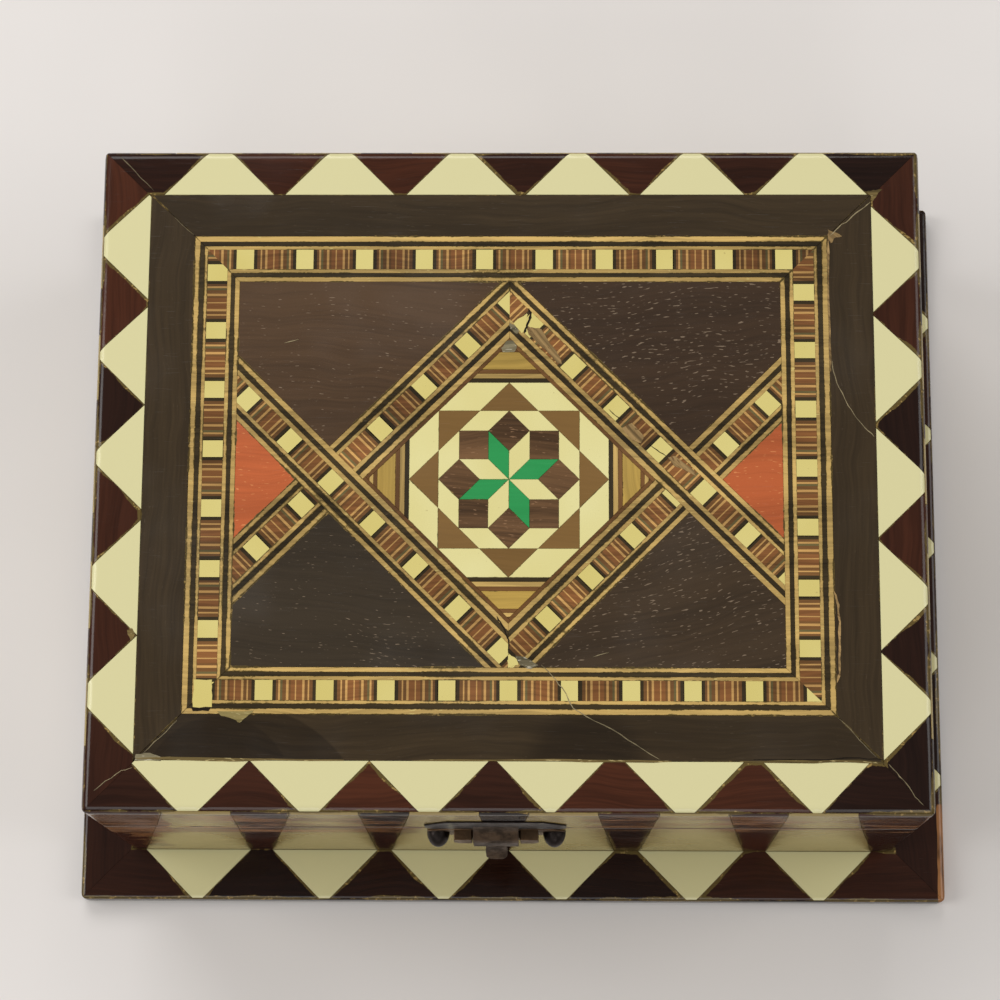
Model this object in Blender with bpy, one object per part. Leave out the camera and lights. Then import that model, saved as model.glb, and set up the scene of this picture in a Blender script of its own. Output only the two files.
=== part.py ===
"""Inlaid wooden box with a hinged lid, on a wide thin plinth.

Blender 4.5, metres, +Z up. The front with its catch faces -Y, and the origin is
on the ground under the middle of the box. Every side is drawn once in a side
frame (x along the side, y inwards from the outer face of the case, z up) and
then turned to its place.
"""
import math
from collections import namedtuple

import bmesh
import bpy
from mathutils import Matrix, Vector

# Clearance between two neighbouring pieces
GAP = 0.0003

# Case and lid
CASE_W = 0.125              # left to right, over the walls
CASE_D = 0.102              # front to back, over the walls
WALL_T = 0.0064             # thickness of the case walls
WALL_H = 0.0350             # height of the case walls
LID_H = 0.0179              # height of the lid rails
RAIL_W = 0.0074             # width of the lid rails, the pointed border on top
LID_EDGE_R = 0.0018         # rounding along the outer top edge of the lid
LID_PANEL_T = 0.0030        # board inside the lid rails, under the marquetry

# Plinth
PLINTH_T = 0.0035           # thickness of the plinth strips and the bottom board
PLINTH_OVERHANG = 0.0082    # how far the plinth stands out all round

# Marquetry
VENEER_T = 0.0010           # thickness of every inlaid piece
FRAME_W = 0.0065            # dark plain frame inside the border
BANDING_W = 0.0068          # banding round the picture
DIAMOND_BANDING_W = 0.0068  # banding of the diamond
DIAMOND_TIP_CUT = 0.00214   # how much the banding cuts off the diamond's back and front tips
STAR_LINE = 0.0005          # brown line between the tablet and the diamond's bandings
STAR_OFFSET = 0.0009        # how far the star sits in front of the middle

# Rows of cream points, on the lid, the walls and the plinth
LONG_COUNT = 6              # points on the front and the back
SHORT_COUNT = 5             # points on each end
POINT_TIP_W = 0.0030        # blunt tip of a point
BORDER_SPACE = 0.0014       # ground between two points on the lid
CREASE_SPACE = 0.0020       # ground between two points where the wall meets the plinth
CREASE_END = 0.0026         # from the case's corner to the first point at the plinth
SIDE_TOP_W = 0.0090         # cream piece on the side, at the lid's top edge
SIDE_TOP_DROP = 0.0006      # from the lid's top down to the side piece
POINT_NECK = 0.0005         # low strip that holds the points of one row together

# Hinges
HINGE_INSET = 0.0285        # from the case's end to the middle of a hinge
HINGE_W = 0.0160
HINGE_LEAF_H = 0.0080
HINGE_LEAF_T = 0.0008
HINGE_BARREL_R = 0.0014
HINGE_PIN_R = 0.0005
HINGE_BARREL_SHARE = 0.36   # part of the barrel that belongs to the upper leaf

# Catch
CATCH_X = -0.0020           # middle of the catch
CATCH_METAL_T = 0.0008
CATCH_PLATE_H = 0.0080
CATCH_PLATE_END_H = 0.0044  # height of the plate's tapered ends
CATCH_BAR_W = 0.0130        # raised bar on the plate
CATCH_BAR_H = 0.0034
CATCH_BAR_PROUD = 0.0011
NAIL_SPACING = 0.0178
NAIL_EDGE = 0.0016          # from a nail's middle to the plate's end
NAIL_HEAD_R = 0.00175
NAIL_HEAD_H = 0.0015
NAIL_SHANK_R = 0.0006
NAIL_LENGTH = 0.0045
HASP_W = 0.0214             # plate on the lid
HASP_H = 0.0086
HASP_END_H = 0.0050
STRAP_W = 0.0069            # strap that hangs over the bar
STRAP_DROP = 0.0062         # how far it hangs below the parting line
STRAP_BEND_H = 0.0036       # height in which the strap steps outwards
TAB_W = 0.0031              # thumb tab at the strap's end
TAB_DROP = 0.0036
TAB_PROUD = 0.0010

ROUND_STEPS = 16            # sides of a turned piece
QUARTER_STEPS = 4           # steps of a quarter round: the lid's edge, a nail's dome
SHARP_ANGLE = 35.0          # degrees; flatter edges of a turned piece are shaded smooth
MERGE_DISTANCE = 1e-6       # joins the points of a turned profile on its axis
OVERCUT = 0.0010            # how far a cutter runs past the piece

# Levels and insets worked out from the sizes above
WALL_Z = PLINTH_T + GAP
WALL_TOP = WALL_Z + WALL_H
LID_Z = WALL_TOP + GAP
LID_TOP = LID_Z + LID_H
PART_LINE = (WALL_TOP + LID_Z) / 2
VENEER_Z = LID_TOP - VENEER_T
FRAME_INSET = RAIL_W + GAP
BANDING_INSET = FRAME_INSET + FRAME_W + GAP
PICTURE_INSET = BANDING_INSET + BANDING_W + GAP
PICTURE_X = CASE_W / 2 - PICTURE_INSET
PICTURE_Y = CASE_D / 2 - PICTURE_INSET
DIAMOND_OUT = (PICTURE_Y + DIAMOND_TIP_CUT) * math.sqrt(0.5)
DIAMOND_IN = DIAMOND_OUT - DIAMOND_BANDING_W
STAR_APOTHEM = DIAMOND_IN - STAR_LINE    # octagonal star tablet, middle to side
HINGE_AXIS_Y = CASE_D / 2 + GAP + HINGE_BARREL_R
HINGE_X = CASE_W / 2 - HINGE_INSET
CATCH_PLATE_W = NAIL_SPACING + 2 * NAIL_EDGE

Side = namedtuple("Side", "name turn length reach count")
SIDES = (
    Side("front", 0.0, CASE_W, CASE_D / 2, LONG_COUNT),
    Side("right", math.pi / 2, CASE_D, CASE_W / 2, SHORT_COUNT),
    Side("back", math.pi, CASE_W, CASE_D / 2, LONG_COUNT),
    Side("left", -math.pi / 2, CASE_D, CASE_W / 2, SHORT_COUNT),
)
Row = namedtuple("Row", "count base tip base_pitch tip_pitch base_w tip_w")


def clear_scene():
    for obj in list(bpy.data.objects):
        bpy.data.objects.remove(obj, do_unlink=True)


def material(name, colour, roughness, metallic=0.0):
    """Plain Principled material with a linear colour."""
    made = bpy.data.materials.new(name)
    made.use_nodes = True
    shader = made.node_tree.nodes["Principled BSDF"]
    shader.inputs["Base Color"].default_value = (*colour, 1.0)
    shader.inputs["Roughness"].default_value = roughness
    shader.inputs["Metallic"].default_value = metallic
    made.diffuse_color = (*colour, 1.0)
    return made


def make_materials():
    return {
        "rosewood": material("rosewood", (0.040, 0.013, 0.009), 0.25),
        "dark_wood": material("dark_wood", (0.043, 0.032, 0.024), 0.28),
        "panel_wood": material("panel_wood", (0.070, 0.043, 0.030), 0.30),
        "cream": material("cream", (0.65, 0.60, 0.32), 0.30),
        "banding": material("banding", (0.42, 0.26, 0.10), 0.32),
        "ochre": material("ochre", (0.55, 0.36, 0.09), 0.32),
        "red": material("red", (0.50, 0.12, 0.04), 0.32),
        "star": material("star", (0.30, 0.20, 0.10), 0.30),
        "plain_wood": material("plain_wood", (0.36, 0.18, 0.07), 0.50),
        "bronze": material("bronze", (0.11, 0.085, 0.065), 0.42, 0.9),
        "brass": material("brass", (0.46, 0.33, 0.14), 0.36, 1.0),
    }


def add_object(name, bm, finish=None, smooth=False):
    """Make the object from a finished mesh; without a finish it is only a cutter or a guide."""
    bmesh.ops.recalc_face_normals(bm, faces=bm.faces)
    mesh = bpy.data.meshes.new(name)
    bm.to_mesh(mesh)
    bm.free()
    if smooth:
        mesh.shade_smooth()
        mesh.set_sharp_from_angle(angle=math.radians(SHARP_ANGLE))
    if finish:
        mesh.materials.append(finish)
    obj = bpy.data.objects.new(name, mesh)
    bpy.context.collection.objects.link(obj)
    return obj


def place(obj, side, parent=None):
    """Turn an object from the side frame to its side of the box."""
    obj.rotation_euler.z = side.turn
    obj.location = Matrix.Rotation(side.turn, 3, "Z") @ Vector((0, -side.reach, 0))
    return hold(obj, parent)


def hold(obj, parent):
    """Parent an object to an empty and leave it where it is."""
    if parent:
        obj.parent = parent
        obj.matrix_parent_inverse = Matrix.Translation(-parent.location)
    return obj


def as_cutter(obj):
    obj.hide_render = True
    obj.display_type = "WIRE"
    return obj


def add_boolean(obj, operation, other):
    modifier = obj.modifiers.new(operation.title(), "BOOLEAN")
    modifier.operation = operation
    modifier.solver = "EXACT"
    modifier.object = other


def join_rings(bm, first, second):
    """Closed body between two outlines of as many points: both caps and the sides."""
    rings = [[bm.verts.new(point) for point in points] for points in (first, second)]
    for ring in rings:
        bm.faces.new(ring)
    count = len(first)
    for i in range(count):
        j = (i + 1) % count
        bm.faces.new((rings[0][i], rings[0][j], rings[1][j], rings[1][i]))


def add_prism(bm, outline, axis, low, high):
    """Extrude an outline along Z from (x, y), along Y from (x, z) or along X from (y, z)."""
    if axis == "Z":
        rings = [[(u, v, level) for u, v in outline] for level in (low, high)]
    elif axis == "Y":
        rings = [[(u, level, v) for u, v in outline] for level in (low, high)]
    else:
        rings = [[(level, u, v) for u, v in outline] for level in (low, high)]
    join_rings(bm, *rings)


def prism(name, outline, axis, low, high, finish=None):
    bm = bmesh.new()
    add_prism(bm, outline, axis, low, high)
    return add_object(name, bm, finish)


def mitred_bar(name, length, profile, finish=None):
    """Bar with 45 degree ends. The profile is (y, z), and length is measured at y = 0."""
    half = length / 2 - GAP / 2 * math.sqrt(2)
    bm = bmesh.new()
    join_rings(bm, [(y - half, y, z) for y, z in profile], [(half - y, y, z) for y, z in profile])
    return add_object(name, bm, finish)


def box_profile(near, far, low, high):
    return [(near, low), (far, low), (far, high), (near, high)]


def lathe(bm, profile, centre, axis):
    """Turn a closed (along, radius) profile about the X or Y axis through centre."""
    rings = []
    for step in range(ROUND_STEPS):
        angle = 2 * math.pi * step / ROUND_STEPS
        ring = []
        for along, radius in profile:
            out = radius * math.cos(angle)
            up = radius * math.sin(angle)
            offset = (along, out, up) if axis == "X" else (out, along, up)
            ring.append(bm.verts.new(centre + Vector(offset)))
        rings.append(ring)
    count = len(profile)
    for step in range(ROUND_STEPS):
        here = rings[step]
        there = rings[(step + 1) % ROUND_STEPS]
        for i in range(count):
            j = (i + 1) % count
            bm.faces.new((here[i], here[j], there[j], there[i]))
    bmesh.ops.remove_doubles(bm, verts=bm.verts, dist=MERGE_DISTANCE)


def row_edges(row, index, level, grow=0.0):
    """Left and right end of one point at a level between the row's base and tip."""
    share = (level - row.base) / (row.tip - row.base)
    width = row.base_w + (row.tip_w - row.base_w) * share
    slope = (row.base_w - row.tip_w) / 2 / (row.tip - row.base)
    middle = (index - (row.count - 1) / 2) * pitch_at(row, level)
    half = width / 2 + grow * math.hypot(1, slope)
    return middle - half, middle + half


def pitch_at(row, level):
    """Distance between two neighbouring points of a row at a level."""
    share = (level - row.base) / (row.tip - row.base)
    return row.base_pitch + (row.tip_pitch - row.base_pitch) * share


def width_at(row, level):
    """Width of a row's points at a level."""
    left, right = row_edges(row, 0, level)
    return right - left


def comb_outline(row, grow=0.0, over=0.0):
    """Outline of a whole row, its points joined by the neck along their bases."""
    sign = 1 if row.tip > row.base else -1
    low = row.base - sign * over
    high = row.tip + sign * over
    web = row.base + sign * (POINT_NECK + grow)
    last = row.count - 1
    outline = [(row_edges(row, 0, low, grow)[0], low), (row_edges(row, last, low, grow)[1], low)]
    for index in range(last, -1, -1):
        left_web, right_web = row_edges(row, index, web, grow)
        left_tip, right_tip = row_edges(row, index, high, grow)
        if index < last:
            outline.append((right_web, web))
        outline.append((right_tip, high))
        outline.append((left_tip, high))
        if index > 0:
            outline.append((left_web, web))
    return outline


def point_outline(row, index, low, high, grow=0.0):
    """Outline of one point of a row between two levels."""
    left_low, right_low = row_edges(row, index, low, grow)
    left_high, right_high = row_edges(row, index, high, grow)
    return [(left_low, low), (right_low, low), (right_high, high), (left_high, high)]


def border_row(side):
    """Points on the lid's top: bases at the dark frame, tips at the outer edge."""
    pitch = (side.length - 2 * RAIL_W) / side.count
    return Row(side.count, RAIL_W, 0.0, pitch, pitch, pitch - BORDER_SPACE, POINT_TIP_W)


def side_row(side):
    """Cream pieces down the side, from the plinth to the lid's top edge."""
    top_pitch = (side.length - 2 * RAIL_W) / side.count
    low_pitch = (side.length - 2 * CREASE_END) / side.count
    return Row(side.count, WALL_Z, LID_TOP, low_pitch, top_pitch,
               low_pitch - CREASE_SPACE, SIDE_TOP_W)


def plinth_row(side):
    """Points on the plinth: bases at the wall, tips at the outer edge."""
    pitch = (side.length - 2 * CREASE_END) / side.count
    return Row(side.count, -GAP, -PLINTH_OVERHANG, pitch, pitch,
               pitch - CREASE_SPACE, POINT_TIP_W)


def make_bottom_board(finish):
    """Board between the plinth strips, the floor of the box."""
    half_x = CASE_W / 2 - WALL_T - GAP
    half_y = CASE_D / 2 - WALL_T - GAP
    outline = [(-half_x, -half_y), (half_x, -half_y), (half_x, half_y), (-half_x, half_y)]
    prism("bottom_board", outline, "Z", 0.0, PLINTH_T, finish)


def make_plinth(side, wood, cream):
    """One mitred strip of the plinth, with its row of points let in."""
    row = plinth_row(side)
    profile = box_profile(-PLINTH_OVERHANG, WALL_T, 0.0, PLINTH_T)
    strip = place(mitred_bar("plinth_" + side.name, side.length, profile, wood), side)
    cut = prism("cut_plinth_" + side.name, comb_outline(row, GAP, OVERCUT), "Z",
                PLINTH_T - VENEER_T - GAP, PLINTH_T + OVERCUT)
    add_boolean(strip, "DIFFERENCE", as_cutter(place(cut, side)))
    points = prism("plinth_points_" + side.name, comb_outline(row), "Z",
                   PLINTH_T - VENEER_T, PLINTH_T, cream)
    place(points, side)


def make_wall(side, wood, cream):
    """One mitred case wall, with the lower part of the side's cream pieces.

    Returns both objects, because the catch's nails go through them.
    """
    row = side_row(side)
    wall_row = Row(row.count, WALL_Z, WALL_TOP, row.base_pitch,
                   pitch_at(row, WALL_TOP), row.base_w, width_at(row, WALL_TOP))
    profile = box_profile(0.0, WALL_T, WALL_Z, WALL_TOP)
    wall = place(mitred_bar("wall_" + side.name, side.length, profile, wood), side)
    cut = prism("cut_wall_" + side.name, comb_outline(wall_row, GAP, OVERCUT), "Y",
                -OVERCUT, VENEER_T + GAP)
    add_boolean(wall, "DIFFERENCE", as_cutter(place(cut, side)))
    points = prism("wall_points_" + side.name, comb_outline(wall_row), "Y",
                   0.0, VENEER_T, cream)
    return wall, place(points, side)


def rail_profile():
    """Section of a lid rail, with its outer top edge rounded."""
    arc = []
    for step in range(QUARTER_STEPS + 1):
        angle = math.pi / 2 * step / QUARTER_STEPS
        arc.append((LID_EDGE_R * (1 - math.sin(angle)), LID_TOP - LID_EDGE_R * (1 - math.cos(angle))))
    return [(0.0, LID_Z), (RAIL_W, LID_Z), (RAIL_W, LID_TOP)] + arc


def lid_side_pieces(name, side, grow, depth):
    """The upper part of the side's cream pieces, one prism each."""
    row = side_row(side)
    bm = bmesh.new()
    for index in range(side.count):
        outline = point_outline(row, index, LID_Z - OVERCUT, LID_TOP - SIDE_TOP_DROP + grow, grow)
        add_prism(bm, outline, "Y", -OVERCUT, depth)
    return add_object(name, bm)


def make_lid_rail(side, hinge, wood, cream):
    """One mitred lid rail, and the points that run over its rounded edge."""
    row = border_row(side)
    rail = mitred_bar("lid_rail_" + side.name, side.length, rail_profile(), wood)
    top_cut = prism("cut_rail_top_" + side.name, comb_outline(row, GAP, OVERCUT), "Z",
                    VENEER_Z - GAP, LID_TOP + OVERCUT)
    side_cut = lid_side_pieces("cut_rail_side_" + side.name, side, GAP, VENEER_T + GAP)
    for obj in (rail, as_cutter(top_cut), as_cutter(side_cut)):
        place(obj, side, hinge)
    add_boolean(rail, "DIFFERENCE", top_cut)
    add_boolean(rail, "DIFFERENCE", side_cut)

    outline = comb_outline(row, 0.0, OVERCUT)
    points = prism("lid_points_" + side.name, outline, "Z", VENEER_Z, LID_TOP + OVERCUT, cream)
    side_add = lid_side_pieces("add_points_side_" + side.name, side, 0.0, VENEER_T)
    blank = mitred_bar("trim_points_" + side.name, side.length, rail_profile())
    for obj in (points, as_cutter(side_add), as_cutter(blank)):
        place(obj, side, hinge)
    add_boolean(points, "UNION", side_add)
    add_boolean(points, "INTERSECT", blank)


def make_inlaid_frame(side, hinge, name, inset, width, finish):
    """One mitred strip of a frame in the lid's marquetry."""
    profile = box_profile(0.0, width, VENEER_Z, LID_TOP)
    strip = mitred_bar(name + "_" + side.name, side.length - 2 * inset, profile, finish)
    inner = side._replace(reach=side.reach - inset)
    place(strip, inner, hinge)


def make_lid_panel(hinge, finish):
    """Board inside the lid rails that carries the marquetry."""
    half_x = CASE_W / 2 - RAIL_W - GAP
    half_y = CASE_D / 2 - RAIL_W - GAP
    outline = [(-half_x, -half_y), (half_x, -half_y), (half_x, half_y), (-half_x, half_y)]
    top = VENEER_Z - GAP
    hold(prism("lid_panel", outline, "Z", top - LID_PANEL_T, top, finish), hinge)


def keep_side(outline, normal, limit):
    """The part of a convex outline where the distance along normal stays under limit."""
    kept = []
    for i, here in enumerate(outline):
        before = outline[i - 1]
        d_here = here[0] * normal[0] + here[1] * normal[1] - limit
        d_before = before[0] * normal[0] + before[1] * normal[1] - limit
        if d_here * d_before < 0:
            share = d_before / (d_before - d_here)
            kept.append((before[0] + (here[0] - before[0]) * share,
                         before[1] + (here[1] - before[1]) * share))
        if d_here <= 0:
            kept.append(here)
    return kept


def picture_piece(name, limits, hinge, finish):
    """A piece of the picture: the inner rectangle cut by lines.

    Each limit is (direction, low, high), measured from the star's middle. The
    directions are x, y, rise (towards the back right) and fall (towards the
    front right).
    """
    directions = {
        "x": (1.0, 0.0),
        "y": (0.0, 1.0),
        "rise": (math.sqrt(0.5), math.sqrt(0.5)),
        "fall": (math.sqrt(0.5), -math.sqrt(0.5)),
    }
    low_y = -PICTURE_Y + STAR_OFFSET
    high_y = PICTURE_Y + STAR_OFFSET
    outline = [(-PICTURE_X, low_y), (PICTURE_X, low_y), (PICTURE_X, high_y), (-PICTURE_X, high_y)]
    for key, low, high in limits:
        nx, ny = directions[key]
        if high is not None:
            outline = keep_side(outline, (nx, ny), high)
        if low is not None:
            outline = keep_side(outline, (-nx, -ny), -low)
    outline = [(x, y - STAR_OFFSET) for x, y in outline]
    hold(prism(name, outline, "Z", VENEER_Z, LID_TOP, finish), hinge)


def make_picture(hinge, finishes):
    """Diamond of banding with its crossing ends, the ground, the triangles and the star."""
    inner = DIAMOND_IN
    outer = DIAMOND_OUT
    ground_in = inner - GAP
    ground_out = outer + GAP
    half = GAP / 2
    banding = finishes["banding"]
    picture_piece("diamond_band_front_left",
                  [("rise", -outer, -inner), ("x", None, -half)], hinge, banding)
    picture_piece("diamond_band_back_right",
                  [("rise", inner, outer), ("x", half, None)], hinge, banding)
    picture_piece("diamond_band_back_left",
                  [("fall", -outer, -inner), ("rise", -ground_in, None), ("x", None, -half)],
                  hinge, banding)
    picture_piece("diamond_band_front_right",
                  [("fall", inner, outer), ("rise", None, ground_in), ("x", half, None)],
                  hinge, banding)
    picture_piece("crossing_band_left",
                  [("fall", -outer, -inner), ("rise", None, -ground_out)], hinge, banding)
    picture_piece("crossing_band_right",
                  [("fall", inner, outer), ("rise", ground_out, None)], hinge, banding)

    wood = finishes["panel_wood"]
    picture_piece("panel_back_left",
                  [("fall", None, -ground_out), ("rise", -ground_in, None), ("x", None, -half)],
                  hinge, wood)
    picture_piece("panel_back_right",
                  [("rise", ground_out, None), ("fall", None, ground_in), ("x", half, None)],
                  hinge, wood)
    picture_piece("panel_front_left",
                  [("rise", None, -ground_out), ("fall", -ground_in, None), ("x", None, -half)],
                  hinge, wood)
    picture_piece("panel_front_right",
                  [("fall", ground_out, None), ("rise", None, ground_in), ("x", half, None)],
                  hinge, wood)
    picture_piece("red_triangle_left",
                  [("rise", None, -ground_out), ("fall", None, -ground_out)],
                  hinge, finishes["red"])
    picture_piece("red_triangle_right",
                  [("rise", ground_out, None), ("fall", ground_out, None)],
                  hinge, finishes["red"])

    inside = [("rise", -ground_in, ground_in), ("fall", -ground_in, ground_in)]
    star = STAR_APOTHEM
    corner = star + GAP
    picture_piece("star_tablet", inside + [("x", -star, star), ("y", -star, star)],
                  hinge, finishes["star"])
    picture_piece("star_corner_back", inside + [("y", corner, None)], hinge, finishes["ochre"])
    picture_piece("star_corner_front", inside + [("y", None, -corner)], hinge, finishes["ochre"])
    picture_piece("star_corner_right", inside + [("x", corner, None)], hinge, finishes["ochre"])
    picture_piece("star_corner_left", inside + [("x", None, -corner)], hinge, finishes["ochre"])


def leaf_outline(x, upper):
    """A hinge leaf seen from behind, with tabs that reach its own barrels."""
    sign = 1 if upper else -1
    near = PART_LINE + sign * (HINGE_BARREL_R + GAP)
    tab = PART_LINE + sign * (HINGE_PIN_R + GAP + GAP)
    far = PART_LINE + sign * (HINGE_BARREL_R + HINGE_LEAF_H)
    half = HINGE_W / 2
    inner = HINGE_W * HINGE_BARREL_SHARE / 2
    if upper:
        steps = [(-half, near), (-inner, near), (-inner, tab), (inner, tab), (inner, near), (half, near)]
    else:
        outer = inner + GAP
        steps = [(-half, tab), (-outer, tab), (-outer, near), (outer, near), (outer, tab), (half, tab)]
    return [(x + u, z) for u, z in steps + [(half, far), (-half, far)]]


def make_hinge(name, x, hinge, finish):
    """Butt hinge on the back. The pin belongs to the lower leaf."""
    near = CASE_D / 2 + GAP
    centre = Vector((x, HINGE_AXIS_Y, PART_LINE))
    half = HINGE_W / 2
    inner = HINGE_W * HINGE_BARREL_SHARE / 2

    lower = prism(name + "_lower", leaf_outline(x, False), "Y", near, near + HINGE_LEAF_T, finish)
    bm = bmesh.new()
    outer = inner + GAP
    lathe(bm, [(-half, 0.0), (-half, HINGE_BARREL_R), (-outer, HINGE_BARREL_R),
               (-outer, HINGE_PIN_R), (outer, HINGE_PIN_R), (outer, HINGE_BARREL_R),
               (half, HINGE_BARREL_R), (half, 0.0)], centre, "X")
    add_boolean(lower, "UNION", as_cutter(add_object("add_pin_" + name, bm)))

    upper = prism(name + "_upper", leaf_outline(x, True), "Y", near, near + HINGE_LEAF_T, finish)
    bm = bmesh.new()
    bore = HINGE_PIN_R + GAP
    lathe(bm, [(-inner, bore), (-inner, HINGE_BARREL_R), (inner, HINGE_BARREL_R), (inner, bore)],
          centre, "X")
    barrel = as_cutter(add_object("add_barrel_" + name, bm))
    add_boolean(upper, "UNION", barrel)
    hold(upper, hinge)
    hold(barrel, hinge)


def tapered_plate(middle, width, height, end_height, flat_width):
    """Plate seen from the front: full height in the middle, lower at its ends."""
    x, z = middle
    half = width / 2
    flat = flat_width / 2
    return [(x - half, z - end_height / 2), (x - flat, z - height / 2), (x + flat, z - height / 2),
            (x + half, z - end_height / 2), (x + half, z + end_height / 2),
            (x + flat, z + height / 2), (x - flat, z + height / 2), (x - half, z + end_height / 2)]


def make_nail(name, x, z, finish):
    """Nail with a domed head in front of the plate, and its shank through plate and wall."""
    profile = [(NAIL_LENGTH, 0.0), (NAIL_LENGTH, NAIL_SHANK_R), (0.0, NAIL_SHANK_R)]
    for step in range(QUARTER_STEPS + 1):
        angle = math.pi / 2 * step / QUARTER_STEPS
        profile.append((-NAIL_HEAD_H * math.sin(angle), NAIL_HEAD_R * math.cos(angle)))
    head = Vector((x, -CASE_D / 2 - CATCH_METAL_T - 2 * GAP, z))
    bm = bmesh.new()
    lathe(bm, profile, head, "Y")
    add_object(name, bm, finish, smooth=True)


def make_catch_plate(wall_pieces, finish):
    """Plate with a raised bar on the front wall, held by two domed nails."""
    z = WALL_TOP - GAP - CATCH_PLATE_H / 2
    face = -CASE_D / 2 - GAP
    outline = tapered_plate((CATCH_X, z), CATCH_PLATE_W, CATCH_PLATE_H, CATCH_PLATE_END_H,
                            CATCH_BAR_W)
    plate = prism("catch_plate", outline, "Y", face - CATCH_METAL_T, face, finish)
    bar = tapered_plate((CATCH_X, z), CATCH_BAR_W, CATCH_BAR_H, CATCH_BAR_H / 2, STRAP_W)
    raised = prism("add_catch_bar", bar, "Y",
                   face - CATCH_METAL_T - CATCH_BAR_PROUD, face - CATCH_METAL_T / 2)
    add_boolean(plate, "UNION", as_cutter(raised))

    for name, sign in (("left", -1), ("right", 1)):
        x = CATCH_X + sign * NAIL_SPACING / 2
        make_nail("catch_nail_" + name, x, z, finish)
        hole = bmesh.new()
        bore = NAIL_SHANK_R + GAP
        lathe(hole, [(-NAIL_LENGTH, 0.0), (-NAIL_LENGTH, bore), (NAIL_LENGTH, bore),
                     (NAIL_LENGTH, 0.0)], Vector((x, face, z)), "Y")
        pilot = as_cutter(add_object("cut_nail_" + name, hole))
        for piece in (plate, *wall_pieces):
            add_boolean(piece, "DIFFERENCE", pilot)


def make_hasp(hinge, finish):
    """Plate on the lid with a strap that hangs over the bar and ends in a thumb tab."""
    z = LID_Z + GAP + HASP_H / 2
    face = -CASE_D / 2 - GAP
    plate = prism("catch_hasp", tapered_plate((CATCH_X, z), HASP_W, HASP_H, HASP_END_H, CATCH_BAR_W),
                  "Y", face - CATCH_METAL_T, face, finish)
    inside = face - CATCH_METAL_T - CATCH_BAR_PROUD - GAP
    outside = inside - CATCH_METAL_T
    bend_top = LID_Z + 2 * GAP + STRAP_BEND_H
    bend_low = LID_Z + GAP
    end = PART_LINE - STRAP_DROP
    strap = [(face - CATCH_METAL_T / 2, bend_top), (face - CATCH_METAL_T / 2, bend_low + CATCH_METAL_T),
             (inside, bend_low), (inside, end), (outside, end),
             (outside, bend_low + CATCH_METAL_T), (face - CATCH_METAL_T, bend_top)]
    tab_end = end - TAB_DROP
    tab = [(inside, end + CATCH_METAL_T), (inside, end),
           (inside - TAB_PROUD, tab_end), (outside - TAB_PROUD, tab_end),
           (outside, end + CATCH_METAL_T / 2), (outside, end + CATCH_METAL_T)]
    for name, profile, width in (("strap", strap, STRAP_W), ("tab", tab, TAB_W)):
        part = prism("add_hasp_" + name, profile, "X", CATCH_X - width / 2, CATCH_X + width / 2)
        hold(as_cutter(part), hinge)
        add_boolean(plate, "UNION", part)
    hold(plate, hinge)


def main():
    clear_scene()
    finishes = make_materials()
    hinge = bpy.data.objects.new("lid_hinge", None)
    hinge.location = (0.0, HINGE_AXIS_Y, PART_LINE)
    bpy.context.collection.objects.link(hinge)

    make_bottom_board(finishes["plain_wood"])
    walls = {}
    for side in SIDES:
        make_plinth(side, finishes["rosewood"], finishes["cream"])
        walls[side.name] = make_wall(side, finishes["rosewood"], finishes["cream"])
        make_lid_rail(side, hinge, finishes["rosewood"], finishes["cream"])
        make_inlaid_frame(side, hinge, "dark_frame", FRAME_INSET, FRAME_W, finishes["dark_wood"])
        make_inlaid_frame(side, hinge, "banding_frame", BANDING_INSET, BANDING_W,
                          finishes["banding"])
    make_lid_panel(hinge, finishes["plain_wood"])
    make_picture(hinge, finishes)
    make_hinge("hinge_left", -HINGE_X, hinge, finishes["brass"])
    make_hinge("hinge_right", HINGE_X, hinge, finishes["brass"])
    make_catch_plate(walls["front"], finishes["bronze"])
    make_hasp(hinge, finishes["bronze"])


main()
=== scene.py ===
"""Inlaid wooden box: every veneer piece, its finish and its wear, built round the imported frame.

Metres, +Z up. The front with its catch faces -Y. What repeats on the four sides is drawn in a
side frame (x along the side, y inwards from the case's outer face, z up) and turned to its side.
"""

import math
import random
from collections import namedtuple

import bmesh
import bpy
from mathutils import Matrix, Vector


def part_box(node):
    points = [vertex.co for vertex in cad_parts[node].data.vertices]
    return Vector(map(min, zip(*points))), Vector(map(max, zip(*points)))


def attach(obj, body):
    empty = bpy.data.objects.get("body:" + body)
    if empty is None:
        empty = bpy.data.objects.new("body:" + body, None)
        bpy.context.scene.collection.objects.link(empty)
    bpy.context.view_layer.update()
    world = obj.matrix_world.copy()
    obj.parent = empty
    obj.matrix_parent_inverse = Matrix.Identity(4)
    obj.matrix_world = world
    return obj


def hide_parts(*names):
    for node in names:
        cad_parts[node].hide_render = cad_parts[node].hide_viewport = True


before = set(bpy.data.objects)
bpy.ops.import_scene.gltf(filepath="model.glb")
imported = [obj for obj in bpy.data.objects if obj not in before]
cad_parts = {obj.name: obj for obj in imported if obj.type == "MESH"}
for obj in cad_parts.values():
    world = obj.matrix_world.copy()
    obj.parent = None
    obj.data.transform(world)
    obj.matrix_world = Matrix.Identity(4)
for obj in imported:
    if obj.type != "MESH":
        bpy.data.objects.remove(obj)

bl_info = {
    "name": "Inlaid Box",
    "version": (1, 0, 0),
    "blender": (4, 5, 0),
    "location": "View3D > Sidebar > Inlaid Box",
    "description": "Builds an inlaid wooden box with its marquetry, its finishes and its stage",
    "category": "Object",
}


def mm(*values):
    """Millimetres as metres: one value or a tuple."""
    scaled = tuple(value * 0.001 for value in values)
    return scaled if len(scaled) > 1 else scaled[0]


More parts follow.
